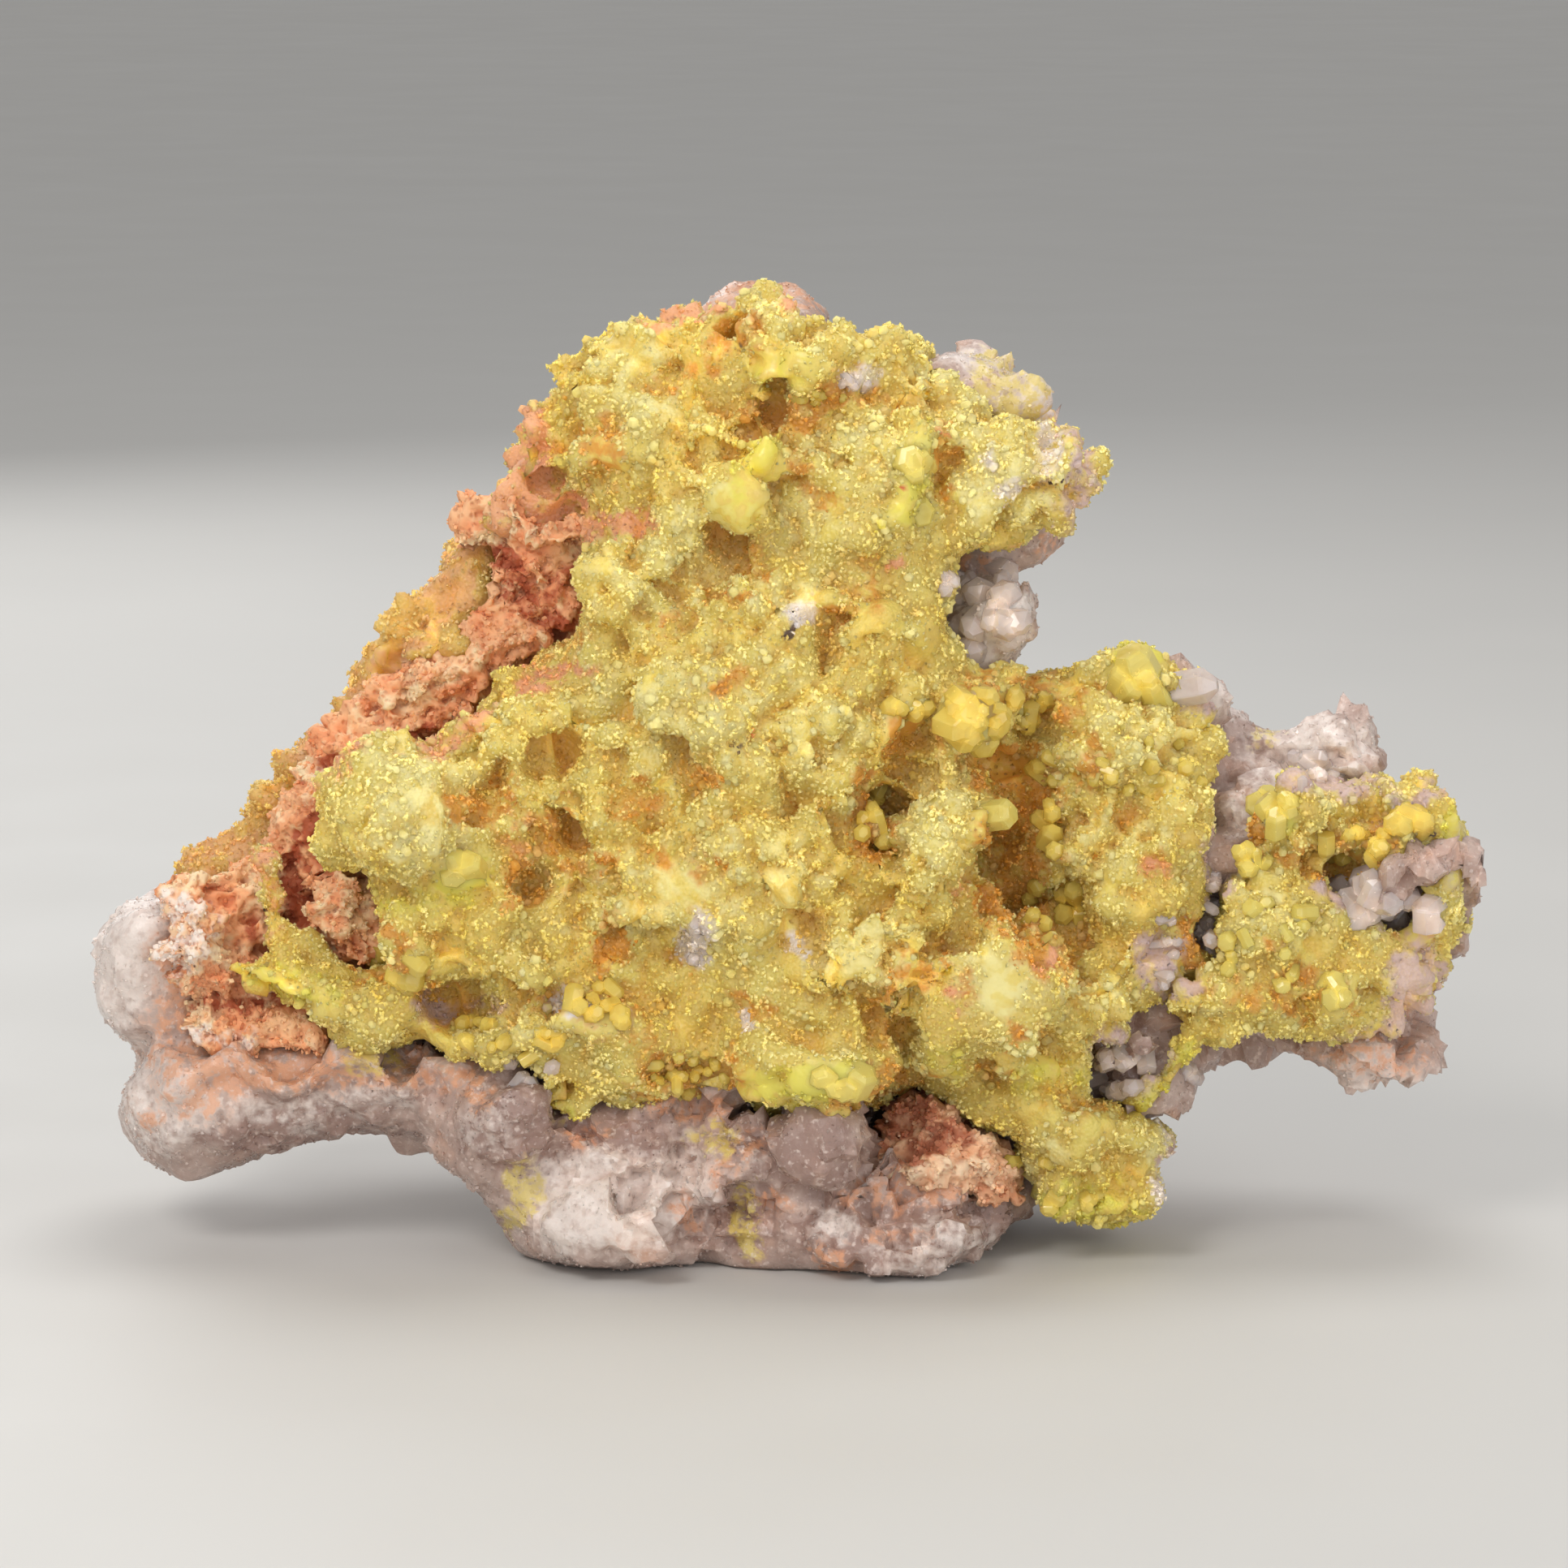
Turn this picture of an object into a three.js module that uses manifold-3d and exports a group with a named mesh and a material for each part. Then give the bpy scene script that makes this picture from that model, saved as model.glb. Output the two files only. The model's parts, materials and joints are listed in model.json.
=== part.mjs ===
// Ettringite on calcite: a natural crystal specimen, 80 mm wide, standing as it was found to stand.
// Millimetres, +Z up, the showing face towards -Y. The origin is on the flat that the stone rests on.
//
// A calcite stone carries thick crusts of yellow ettringite, and iron-stained porous rock shows
// between the two. Each mineral body is one solid: lumps that melt into each other under a knotted
// surface, with flat-faced crystals fused to it. A lump's place is written as one front view shows it,
// and the function seen turns that into the part's own frame.
import * as THREE from "three";
import { MarchingCubes } from "three/addons/objects/MarchingCubes.js";
import { mergeVertices } from "three/addons/utils/BufferGeometryUtils.js";
import Module from "manifold-3d";

const wasm = await Module();
wasm.setup();

// The front view that places are read from: its tilt above the horizon, its distance from the
// origin's depth, and the height of the specimen's middle, as seen and in the part's frame
const VIEW_TILT = THREE.MathUtils.degToRad(10);
const VIEW_DISTANCE = 353;
const SEEN_MIDDLE = 28.8;
const MIDDLE_HEIGHT = 26.6;

// Clearance between two mineral bodies, how far the plain facets may stray from the worked-out
// surface, the largest sliver that a cut may leave, and the sharpest corner that the clearance is kept
// in full around
const GAP = 0.3;
const FACET_ERROR = 0.4;
const SLIVER = 0.04;
const LEAST_COSINE = 0.5;
const FLOOR_CUT = new THREE.Vector3(200, 200, 40);

// The lattice that a mineral body's surface is worked out on: its span, its middle, and its turn,
// which keeps the facets from lining up with the axes. Values closer to the surface's own than the
// margin are pushed off it, so that no triangle shrinks to nothing.
const LATTICE = {
  span: 98,
  middle: new THREE.Vector3(0, 2, 28),
  turn: new THREE.Quaternion().setFromEuler(new THREE.Euler(0.35, 0.14, 0.3)),
  margin: 0.03,
  mostTriangles: 40000,
};

// How each mineral grows: how softly its lumps melt into each other, the spacing and height of the
// knots over its surface, the share of that height that stands proud of the lumps' own outlines,
// whether the knots are blocky, as cleavage leaves them, or round, and the size of its facets
const CALCITE = { melt: 0.7, spacing: 8, height: 3, proud: 0.38, blocky: true, facet: 3 };
const CRUST = { melt: 0.8, spacing: 6, height: 3.4, proud: 0.44, blocky: false, facet: 2.5 };
const POROUS = { melt: 0.7, spacing: 5, height: 2.4, proud: 0.38, blocky: true, facet: 2.6 };

// A place [across, up, deep] of the front view, in millimetres at true size, in the part's frame.
function seen([across, up, deep]) {
  const cos = Math.cos(VIEW_TILT);
  const sin = Math.sin(VIEW_TILT);
  const above = up - SEEN_MIDDLE;
  const rise = (above * (1 + (deep * cos) / VIEW_DISTANCE) - deep * sin)
    / (cos + (above * sin) / VIEW_DISTANCE);
  const scale = 1 + (deep * cos - rise * sin) / VIEW_DISTANCE;
  return new THREE.Vector3(across * scale, deep, MIDDLE_HEIGHT + rise);
}

function turnOf([aboutX, aboutY, aboutZ]) {
  const [x, y, z] = [aboutX, aboutY, aboutZ].map(THREE.MathUtils.degToRad);
  return new THREE.Quaternion().setFromEuler(new THREE.Euler(x, y, z, "ZYX"));
}

// Only the positions, with shared corners merged and flattened triangles dropped.
function closedGeometry(geometry) {
  geometry.deleteAttribute("normal");
  geometry.deleteAttribute("uv");
  const merged = mergeVertices(geometry, 1e-4);
  const index = merged.index.array;
  const kept = [];
  for (let i = 0; i < index.length; i += 3) {
    const [a, b, c] = [index[i], index[i + 1], index[i + 2]];
    if (a !== b && b !== c && c !== a) kept.push(a, b, c);
  }
  merged.setIndex(kept);
  return merged;
}

// A closed geometry as a solid that can be joined and cut.
function solidOf(geometry) {
  return new wasm.Manifold(new wasm.Mesh({
    numProp: 3,
    vertProperties: geometry.attributes.position.array,
    triVerts: new Uint32Array(geometry.index.array),
  }));
}

// Three repeatable numbers from 0 to 1 for one cell of a cubic grid.
function cellNumbers(i, j, k) {
  return [[127.1, 311.7, 74.7], [269.5, 183.3, 246.1], [113.5, 271.9, 124.6]].map(([a, b, c]) => {
    const mixed = Math.sin(i * a + j * b + k * c) * 43758.5453;
    return mixed - Math.floor(mixed);
  });
}

// How far a point is from the nearest knot of a mineral, as a share of the spacing.
function knotDistance(point, { spacing, blocky }) {
  const [x, y, z] = [point.x / spacing, point.y / spacing, point.z / spacing];
  const [i, j, k] = [Math.floor(x), Math.floor(y), Math.floor(z)];
  let nearest = Infinity;
  for (let di = -1; di <= 1; di += 1) {
    for (let dj = -1; dj <= 1; dj += 1) {
      for (let dk = -1; dk <= 1; dk += 1) {
        const [u, v, w] = cellNumbers(i + di, j + dj, k + dk);
        const [a, b, c] = [i + di + u - x, j + dj + v - y, k + dk + w - z];
        const rhombic = Math.max(Math.abs(a + 0.4 * c), Math.abs(b - 0.3 * a), Math.abs(c + 0.3 * b));
        nearest = Math.min(nearest, blocky ? rhombic : Math.hypot(a, b, c));
      }
    }
  }
  return nearest;
}

// How far a point is outside a lump, below 0 inside it. A lump's outline goes from round, at square 2,
// to blocky, at 4 and more.
function outsideLump(point, { centre, unturn, half, square }) {
  const local = point.clone().sub(centre).applyQuaternion(unturn);
  const sum = Math.abs(local.x / half[0]) ** square
    + Math.abs(local.y / half[1]) ** square
    + Math.abs(local.z / half[2]) ** square;
  const share = Math.max(sum ** (1 / square), 0.05);
  return local.length() < 0.05 ? -Math.min(...half) : local.length() * (1 - 1 / share);
}

function placed({ at, half, turn = [0, 0, 0], square = 2.5 }) {
  return { centre: seen(at), unturn: turnOf(turn).invert(), half, square };
}

// How far a point is outside a mineral body, with its lumps melted together, its surface knotted and
// its pits sunk.
function outsideBody(point, { mineral, lumps, pits }) {
  const nearness = lumps.reduce((sum, each) => sum + Math.exp(-outsideLump(point, each) / mineral.melt), 0);
  const smooth = -mineral.melt * Math.log(nearness + 1e-30);
  if (Math.abs(smooth) > 3 * mineral.height) return smooth;
  const knotted = smooth + mineral.height * (knotDistance(point, mineral) - mineral.proud);
  return pits.reduce((outside, each) => Math.max(outside, -outsideLump(point, each)), knotted);
}

// The lattice of a mineral body, with a field that is above 0 inside the body.
function fieldOf(body) {
  const cells = Math.ceil(LATTICE.span / body.mineral.facet);
  const cubes = new MarchingCubes(cells, new THREE.MeshBasicMaterial(), false, false, LATTICE.mostTriangles);
  const parts = {
    mineral: body.mineral,
    lumps: body.lumps.map(placed),
    pits: (body.pits ?? []).map(placed),
  };
  const point = new THREE.Vector3();
  for (let k = 0; k < cells; k += 1) {
    for (let j = 0; j < cells; j += 1) {
      for (let i = 0; i < cells; i += 1) {
        point.set(i, j, k).multiplyScalar(2 / cells).subScalar(1).multiplyScalar(LATTICE.span / 2);
        point.applyQuaternion(LATTICE.turn).add(LATTICE.middle);
        const inside = -outsideBody(point, parts);
        const pushed = inside < 0 ? -LATTICE.margin : LATTICE.margin;
        cubes.field[i + cells * (j + cells * k)] = Math.abs(inside) < LATTICE.margin ? pushed : inside;
      }
    }
  }
  return cubes;
}

// The solid inside a field's level of 0.
function surfaceOf(cubes) {
  cubes.isolation = 0;
  cubes.update();
  const geometry = new THREE.BufferGeometry();
  const corners = cubes.positionArray.slice(0, cubes.count * 3);
  geometry.setAttribute("position", new THREE.BufferAttribute(corners, 3));
  geometry.scale(...Array(3).fill(LATTICE.span / 2));
  geometry.applyQuaternion(LATTICE.turn);
  geometry.translate(...LATTICE.middle.toArray());
  return solidOf(closedGeometry(geometry));
}

// A flat-faced crystal: a prism with this many sides that ends in a blunt pyramid. Its axis leans
// from upright by turn, and at is the middle of its foot.
function crystal({ at, radius, length, tip = 0.5, blunt = 0.35, sides = 6, turn = [0, 0, 0] }) {
  const profile = [
    new THREE.Vector2(0, 0),
    new THREE.Vector2(radius, 0),
    new THREE.Vector2(radius, length - tip * radius),
    new THREE.Vector2(blunt * radius, length),
    new THREE.Vector2(0, length),
  ];
  const geometry = closedGeometry(new THREE.LatheGeometry(profile, sides));
  geometry.rotateX(Math.PI / 2);
  geometry.applyQuaternion(turnOf(turn));
  const foot = seen(at);
  geometry.translate(foot.x, foot.y, foot.z);
  return solidOf(geometry);
}

// A cleavage rhomb of calcite: a box leaned over along one of its edges.
function rhomb({ at, edges, lean = 0.27, turn = [0, 0, 0] }) {
  const geometry = closedGeometry(new THREE.BoxGeometry(...edges));
  geometry.applyMatrix4(new THREE.Matrix4().makeShear(0, lean, 0, 0, lean, 0));
  geometry.applyQuaternion(turnOf(turn));
  const middle = seen(at);
  geometry.translate(middle.x, middle.y, middle.z);
  return solidOf(geometry);
}

// A mineral body: the surface of its melted lumps with its crystals and rhombs fused to it, and the
// room that it takes from its neighbours.
function grown(body) {
  const pieces = [
    surfaceOf(fieldOf(body)).simplify(FACET_ERROR),
    ...(body.crystals ?? []).map(crystal),
    ...(body.rhombs ?? []).map(rhomb),
  ];
  return {
    solid: wasm.Manifold.union(pieces).simplify(SLIVER),
    room: wasm.Manifold.union(pieces.map(swollen)),
  };
}

// A solid with each of its facets moved out by the clearance.
function swollen(solid) {
  const { vertProperties, triVerts } = solid.getMesh();
  const geometry = new THREE.BufferGeometry();
  geometry.setAttribute("position", new THREE.BufferAttribute(vertProperties.slice(), 3));
  geometry.setIndex(new THREE.BufferAttribute(triVerts.slice(), 1));
  geometry.computeVertexNormals();
  const { position, normal } = geometry.attributes;
  const leastCosine = faceCosines(geometry);
  for (let i = 0; i < position.count; i += 1) {
    const step = GAP / Math.max(leastCosine[i], LEAST_COSINE);
    position.setXYZ(
      i,
      position.getX(i) + step * normal.getX(i),
      position.getY(i) + step * normal.getY(i),
      position.getZ(i) + step * normal.getZ(i),
    );
  }
  return solidOf(geometry);
}

// For each corner of a closed mesh, the least cosine between its normal and the faces that meet there.
function faceCosines(geometry) {
  const { position, normal } = geometry.attributes;
  const index = geometry.index.array;
  const least = new Float32Array(position.count).fill(1);
  const face = new THREE.Triangle();
  const facing = new THREE.Vector3();
  const direction = new THREE.Vector3();
  for (let i = 0; i < index.length; i += 3) {
    face.setFromAttributeAndIndices(position, index[i], index[i + 1], index[i + 2]);
    face.getNormal(facing);
    for (const corner of [index[i], index[i + 1], index[i + 2]]) {
      direction.fromBufferAttribute(normal, corner);
      least[corner] = Math.min(least[corner], facing.dot(direction));
    }
  }
  return least;
}

// The whole body that is left after cutting, without the loose chips that a cut can leave.
function largestBody(solid) {
  return solid.decompose().reduce((best, next) => (next.volume() > best.volume() ? next : best));
}

// The space under the stone's resting face.
function floorSpace() {
  const box = closedGeometry(new THREE.BoxGeometry(...FLOOR_CUT.toArray()));
  box.translate(0, 0, -FLOOR_CUT.z / 2);
  return solidOf(box);
}

// The calcite stone: the foot that it stands on, the low bar that reaches to the left, and the back
// that carries the crusts, with the glassy crystals grown from it
const calciteStone = {
  mineral: CALCITE,
  lumps: [
    // Foot, from the pale front lump on the left to the grey toe on the right, and its rear
    { at: [-10.2, 4.4, -3], half: [5.6, 7.8, 4.8] },
    { at: [-1, 4, -2], half: [6.6, 7.6, 4.4] },
    { at: [5.8, 3.6, -4], half: [5.6, 8, 3.8] },
    { at: [-2.5, 6, 7], half: [12, 10, 8.5], square: 3 },
    { at: [1.8, 8.6, -8.2], half: [2.8, 3.6, 2.5], square: 4, turn: [0, 8, 0] },
    { at: [-3, 7.4, -9.6], half: [2.5, 2.2, 1.7], turn: [0, -22, 0] },
    { at: [-8, 8.8, -6.8], half: [3.6, 3.6, 3.4] },
    { at: [10.6, 4.2, -3.4], half: [3.4, 4.4, 1.7], turn: [0, -24, 0] },
    // Low bar to the left, arching over open air
    { at: [-34, 10, -1], half: [4.8, 5.6, 4], square: 3 },
    { at: [-30.6, 10.8, -1.4], half: [4.6, 5.4, 3.4] },
    { at: [-24.6, 11.8, -1.6], half: [7, 5.4, 3.1] },
    { at: [-16.8, 10.2, -4.6], half: [3.6, 5.8, 4.2], square: 3 },
    { at: [-15, 7.4, -4.4], half: [3, 5.4, 2.8] },
    { at: [-36.2, 19.4, -0.8], half: [3.4, 4.6, 4.2], turn: [0, 24, 0] },
    { at: [-37.9, 16.8, -0.6], half: [2.4, 3.6, 2.8] },
    { at: [-28, 17.2, 4.5], half: [9.8, 6, 6.4] },
    // Back, rising from the left slope to the crest
    { at: [-17, 24, 8], half: [9.8, 7.2, 10] },
    { at: [-8, 34, 8], half: [8.8, 6.6, 12.5] },
    { at: [-0.5, 45, 7.5], half: [8.8, 5.2, 8.8] },
    { at: [-1.6, 55.4, 6.2], half: [4.6, 3.4, 2.3] },
    { at: [2, 22, 9], half: [13, 7.5, 12], square: 3 },
    { at: [8, 41, 6], half: [6, 4.6, 7.5] },
    // Knob at the upper right, with the broken stone under it
    { at: [12.6, 46, 3], half: [5.1, 4.4, 5.2] },
    { at: [10.6, 50.8, 1.4], half: [4.2, 3.4, 3.1] },
    { at: [10, 38.6, 1.4], half: [3.3, 4.2, 4.4] },
    { at: [12.3, 38.2, -0.8], half: [1.7, 2, 2] },
    { at: [8.8, 34.8, -1], half: [3.6, 3.6, 3.2] },
    // Right middle, with the pale rim that shows beside the yellow
    { at: [17, 24, 5.5], half: [8.4, 5, 7.5] },
    { at: [22.8, 29, 2.6], half: [4.4, 4.2, 4.8] },
    { at: [24.2, 22, 2], half: [3, 3.8, 6.4] },
    { at: [22, 18, -0.5], half: [3, 4, 4.2] },
    { at: [20, 13, -2.5], half: [2.9, 3.8, 3.2] },
    { at: [15, 10.5, 2], half: [5.5, 5, 4.5] },
    // Right lobe, from its lilac top to the pale lower corner
    { at: [28, 23.4, 5], half: [4, 3.6, 6.2] },
    { at: [31.6, 29.8, 3], half: [3, 3.8, 3.2] },
    { at: [29.2, 28, 2.6], half: [2.7, 3.6, 2.6] },
    { at: [32.2, 22.4, 5], half: [5.8, 4.4, 6.2] },
    { at: [35.4, 18.2, 2.4], half: [2.9, 3.6, 3.6] },
    { at: [33.5, 14.6, 0.8], half: [3, 3.6, 3.1], square: 3 },
    { at: [27.8, 15.6, 3], half: [5, 3.4, 2.2] },
    { at: [23.5, 12.8, 2], half: [1.2, 1.6, 2] },
  ],
  crystals: [
    { at: [22, 31.8, 0.6], radius: 1.9, length: 4.8, turn: [0, 52, 0] },
    { at: [13.2, 50, -0.4], radius: 1.4, length: 3.2, turn: [0, 38, 0] },
    { at: [19.4, 12.6, -5.4], radius: 0.9, length: 3.4, turn: [40, 40, 0] },
    { at: [32.4, 23.4, -3.6], radius: 1.1, length: 3.2, turn: [50, 62, 0] },
  ],
  rhombs: [
    { at: [18.6, 12.9, -5.8], edges: [2.1, 2.4, 1.8], turn: [10, 24, 18] },
    { at: [35.8, 22.4, -3.4], edges: [3.2, 2.6, 2.4], turn: [12, -20, 10] },
    { at: [12.6, 38, -2.6], edges: [2.4, 2.2, 3], turn: [8, 16, 14] },
    { at: [22.6, 20, -3.4], edges: [1.8, 2.4, 2.6], turn: [6, 28, -12] },
    { at: [-15, 9.4, -9.6], edges: [3.6, 2.2, 3.2], turn: [4, -14, 12] },
    { at: [-10.6, 3, -10.2], edges: [5, 2.4, 3.4], turn: [6, 10, -8] },
  ],
};

// Iron-stained porous rock between the stone and the yellow crust, from the hollow under the left
// shoulder down to the left end
const stainedBand = {
  mineral: POROUS,
  lumps: [
    { at: [-13.6, 41.2, 2], half: [4.2, 4.4, 6] },
    { at: [-18.6, 34.8, 1], half: [5.6, 4.4, 3.8], turn: [0, -38, 0] },
    { at: [-24, 29.8, 0.4], half: [4, 4.2, 4] },
    { at: [-26.6, 23.6, -0.4], half: [3.4, 4.2, 6.4] },
    { at: [-30.4, 21.6, 0.2], half: [4.6, 4.6, 3.8] },
    { at: [-25.4, 20.6, -2.4], half: [2.8, 3.2, 2.6] },
    { at: [-29.8, 15.4, -1.2], half: [6.2, 5, 4] },
    { at: [-24, 14.8, -2.8], half: [4, 3.4, 2.4] },
  ],
};

// The same porous rock in the hollow over the toe
const stainedPocket = {
  mineral: POROUS,
  lumps: [
    { at: [9, 8, -5.6], half: [4.4, 4.4, 3.6] },
    { at: [12.6, 5.8, -4.6], half: [2.4, 3.2, 2] },
    { at: [7, 5.4, -7.6], half: [2.6, 3, 1.6] },
  ],
};

// The great yellow crust: the face, the crest, the knob, the right middle and the lower right lobe
const mainCrust = {
  mineral: CRUST,
  lumps: [
    // Face
    { at: [0, 24, -2.5], half: [14, 9, 14], square: 3 },
    { at: [-20.4, 25.6, -6], half: [5, 5.4, 5.2], square: 3.4 },
    { at: [-15.6, 31, -4.6], half: [5.4, 5, 3.6], turn: [0, -26, 0] },
    { at: [-11, 25.4, -7], half: [6.2, 5.8, 7] },
    { at: [-4.4, 31, -6.6], half: [6.6, 5.4, 6.2] },
    { at: [-3, 35.6, -5.8], half: [7.4, 5, 4.6] },
    { at: [4.4, 35.4, -5], half: [4.8, 4.6, 4.6] },
    { at: [-9.4, 34, -5.2], half: [5, 4.4, 3.4], turn: [0, -30, 0] },
    { at: [-2.2, 23.4, -8.4], half: [7, 5.6, 6.6] },
    { at: [4.8, 18.4, -11], half: [4.3, 4.4, 3.4], square: 3 },
    { at: [11.2, 16.8, -9], half: [3.6, 4.6, 3.9], square: 3.4 },
    { at: [9.8, 21.8, -8.4], half: [4.1, 4.4, 3.4] },
    { at: [10.9, 26.8, -6], half: [2.5, 3.8, 3.6], square: 3 },
    { at: [4.2, 31, -6], half: [4.2, 4.6, 5.4] },
    { at: [-18.4, 18.8, -7], half: [4.2, 4.6, 3.2] },
    { at: [-23.4, 16.2, -6], half: [3.8, 3.2, 2.6] },
    // Lower edge over the foot
    { at: [1.2, 12.8, -10.4], half: [4.7, 3.4, 3] },
    { at: [-11, 14.4, -8.4], half: [5.3, 4.6, 3.8] },
    { at: [-16.4, 14.2, -8.4], half: [4, 2.8, 1.7] },
    { at: [-5.4, 12.4, -7.6], half: [4.4, 3.8, 2.6] },
    { at: [-12.4, 9.4, -8.6], half: [1.8, 2.2, 2.8] },
    // Ridges that run out over the stained rock on the left
    { at: [-28.6, 18, -5.4], half: [5.2, 2.2, 1.7], turn: [0, 20, 0] },
    // Upper face and crest
    { at: [-0.4, 43, 0.8], half: [9, 8, 11] },
    { at: [-5, 38.4, -4.8], half: [7.2, 5.2, 5.6] },
    { at: [-4.4, 46.4, -3.8], half: [6.6, 4.6, 5] },
    { at: [-8.2, 50.8, 0.6], half: [4.4, 4.8, 4] },
    { at: [-4, 53.2, -0.4], half: [5.6, 5, 3.2] },
    { at: [1.8, 52.2, 5], half: [5, 4, 2.4] },
    { at: [4.8, 51.4, 0], half: [4.8, 4.8, 3.7] },
    { at: [-12.4, 47.6, 1], half: [3, 4.4, 4] },
    { at: [-14.6, 45.4, -0.6], half: [2.3, 3, 2.5] },
    { at: [4.6, 45.4, -3.2], half: [4.6, 4.8, 4.6] },
    { at: [5.4, 38.8, -3.4], half: [4.2, 4.8, 5] },
    { at: [0.2, 53, -4], half: [2.7, 2.2, 2.2] },
    { at: [-1, 56, 2.4], half: [2, 2.4, 1.6] },
    // Knob
    { at: [12.9, 45.8, -2.2], half: [4.2, 3.8, 4] },
    { at: [9.8, 48.4, -1.8], half: [3.2, 3.8, 3.2] },
    // Saddle under the notch
    { at: [10.4, 33.6, -3], half: [3.4, 3.6, 2.6] },
    { at: [13.8, 33.3, -1], half: [3, 3.4, 2.3] },
    // Right middle
    { at: [19.2, 28, -2.4], half: [5.4, 4.8, 5.2], square: 3 },
    { at: [19.4, 22.4, -3.2], half: [5.2, 4.8, 4.8], square: 3 },
    { at: [20.5, 34.2, -1.4], half: [2.6, 2.6, 2.6] },
    { at: [23, 32, -1.6], half: [2.8, 3, 2.4] },
    { at: [16.8, 31.4, -1], half: [3, 3.6, 2.2] },
    { at: [18.2, 17.2, -5], half: [3.8, 4.4, 3.4] },
    { at: [14.4, 12, -6], half: [4.2, 4.4, 3.4] },
    // Lower right lobe
    { at: [17.8, 7.2, -4.6], half: [4.5, 4.8, 4.4] },
    { at: [18.7, 5, -4.4], half: [3.9, 4, 2.7] },
  ],
  crystals: [
    { at: [-18.6, 24, -9], radius: 1.8, length: 3.4, turn: [82, 30, 0] },
    { at: [10.8, 30.6, -5.6], radius: 2.2, length: 4, blunt: 0.6 },
    { at: [4.6, 12.6, -11], radius: 1.8, length: 3.4, turn: [70, 42, 0] },
    { at: [2, 11.6, -10.8], radius: 1.9, length: 3.4, turn: [92, 10, 0] },
    { at: [7.8, 43.4, -5.2], radius: 1.9, length: 6.4, blunt: 0.7, turn: [12, 6, 0] },
    { at: [-3, 45, -5.4], radius: 2.1, length: 3.8, turn: [76, 0, 0] },
    { at: [-10, 47.6, -2.4], radius: 1.5, length: 3, turn: [72, -10, 0] },
    { at: [20.4, 33.2, -1.6], radius: 1.8, length: 3.6, blunt: 0.5 },
    { at: [6.4, 18.2, -12.6], radius: 2.1, length: 3, turn: [60, 58, 0] },
    { at: [13, 17, -10.4], radius: 2.4, length: 3.2, blunt: 0.6, turn: [78, 24, 0] },
    { at: [-22, 26, -9], radius: 2.2, length: 3.2, turn: [84, -34, 0] },
    { at: [-16.6, 13.8, -9.8], radius: 0.9, length: 4.4, turn: [10, 78, 0] },
    { at: [-29.4, 17, -5], radius: 1.1, length: 8.4, turn: [6, -3, 0] },
  ],
  pits: [
    { at: [-13.2, 25.6, -12.4], half: [1.4, 2.6, 1.7] },
    { at: [-14.8, 22.8, -12], half: [1.2, 2.4, 1.6] },
    { at: [-10, 19.2, -12.6], half: [1, 2.4, 1.6] },
    { at: [-5, 29.2, -12.6], half: [1.2, 1.6, 1.3] },
    { at: [-19.2, 16.2, -11], half: [1.8, 2.4, 1.2] },
    { at: [-2.6, 54.6, -3.6], half: [1.7, 1.6, 1.1] },
    { at: [13, 29, -7.4], half: [1.6, 3.4, 2.8] },
    { at: [13.5, 23.6, -8.4], half: [1.7, 3.6, 3.6], turn: [0, -14, 0] },
    { at: [6.8, 26.4, -10.2], half: [1.2, 2.4, 3] },
    { at: [7.4, 31.8, -8.8], half: [1, 2.4, 1.4] },
  ],
};

// The crust on the right lobe, with the thin yellow stalk that reaches down from it
const rightCrust = {
  mineral: CRUST,
  lumps: [
    { at: [29.2, 26.6, -1.6], half: [2.7, 3.4, 2.4], square: 3 },
    { at: [34.8, 25.4, -0.6], half: [4.6, 4, 3.9] },
    { at: [36.8, 23.8, -0.6], half: [2.8, 3.6, 4] },
    { at: [31.2, 23.2, -1.4], half: [4, 3.6, 2.8] },
    { at: [29.6, 19.4, -3.4], half: [4.8, 4.2, 4.2], square: 3 },
    { at: [35, 18.8, -1.4], half: [3.8, 3.8, 4] },
    { at: [24.8, 15.8, -4], half: [3.4, 2.8, 2] },
    { at: [30.6, 15, -2], half: [3.6, 3, 1.6] },
  ],
  crystals: [
    { at: [29.4, 28, -4], radius: 1.2, length: 2.4, turn: [50, 0, 0] },
    { at: [27.4, 22.6, -4.4], radius: 0.9, length: 2.8, turn: [12, -6, 0] },
    { at: [32.2, 16.6, -4.6], radius: 1.3, length: 2.8, turn: [80, 14, 0] },
    { at: [19.8, 9.2, -5], radius: 1.15, length: 7.6, turn: [0, 33, 0] },
  ],
};

// Ochre crust along the left slope, outside the stained band
const slopeCrust = {
  mineral: CRUST,
  lumps: [
    { at: [-17.8, 40.4, 3], half: [2.6, 3.6, 3] },
    { at: [-20, 37.2, 3.2], half: [3, 3.8, 3] },
    { at: [-21.8, 33.6, 3.2], half: [3.4, 4, 3.1] },
    { at: [-25.4, 30.6, 3.2], half: [3.3, 4, 3] },
    { at: [-28, 27.1, 3.2], half: [3.1, 4, 2.9] },
    { at: [-32, 23.4, 2.6], half: [3.6, 3.8, 2.5], turn: [0, -34, 0] },
  ],
};

const COLOURS = {
  calcite: { color: 0xc9b5ad, roughness: 0.45, metalness: 0 },
  crust: { color: 0xd6c35a, roughness: 0.55, metalness: 0 },
  slope: { color: 0xcf9d4e, roughness: 0.6, metalness: 0 },
  porous: { color: 0xc98264, roughness: 0.9, metalness: 0 },
};

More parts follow.
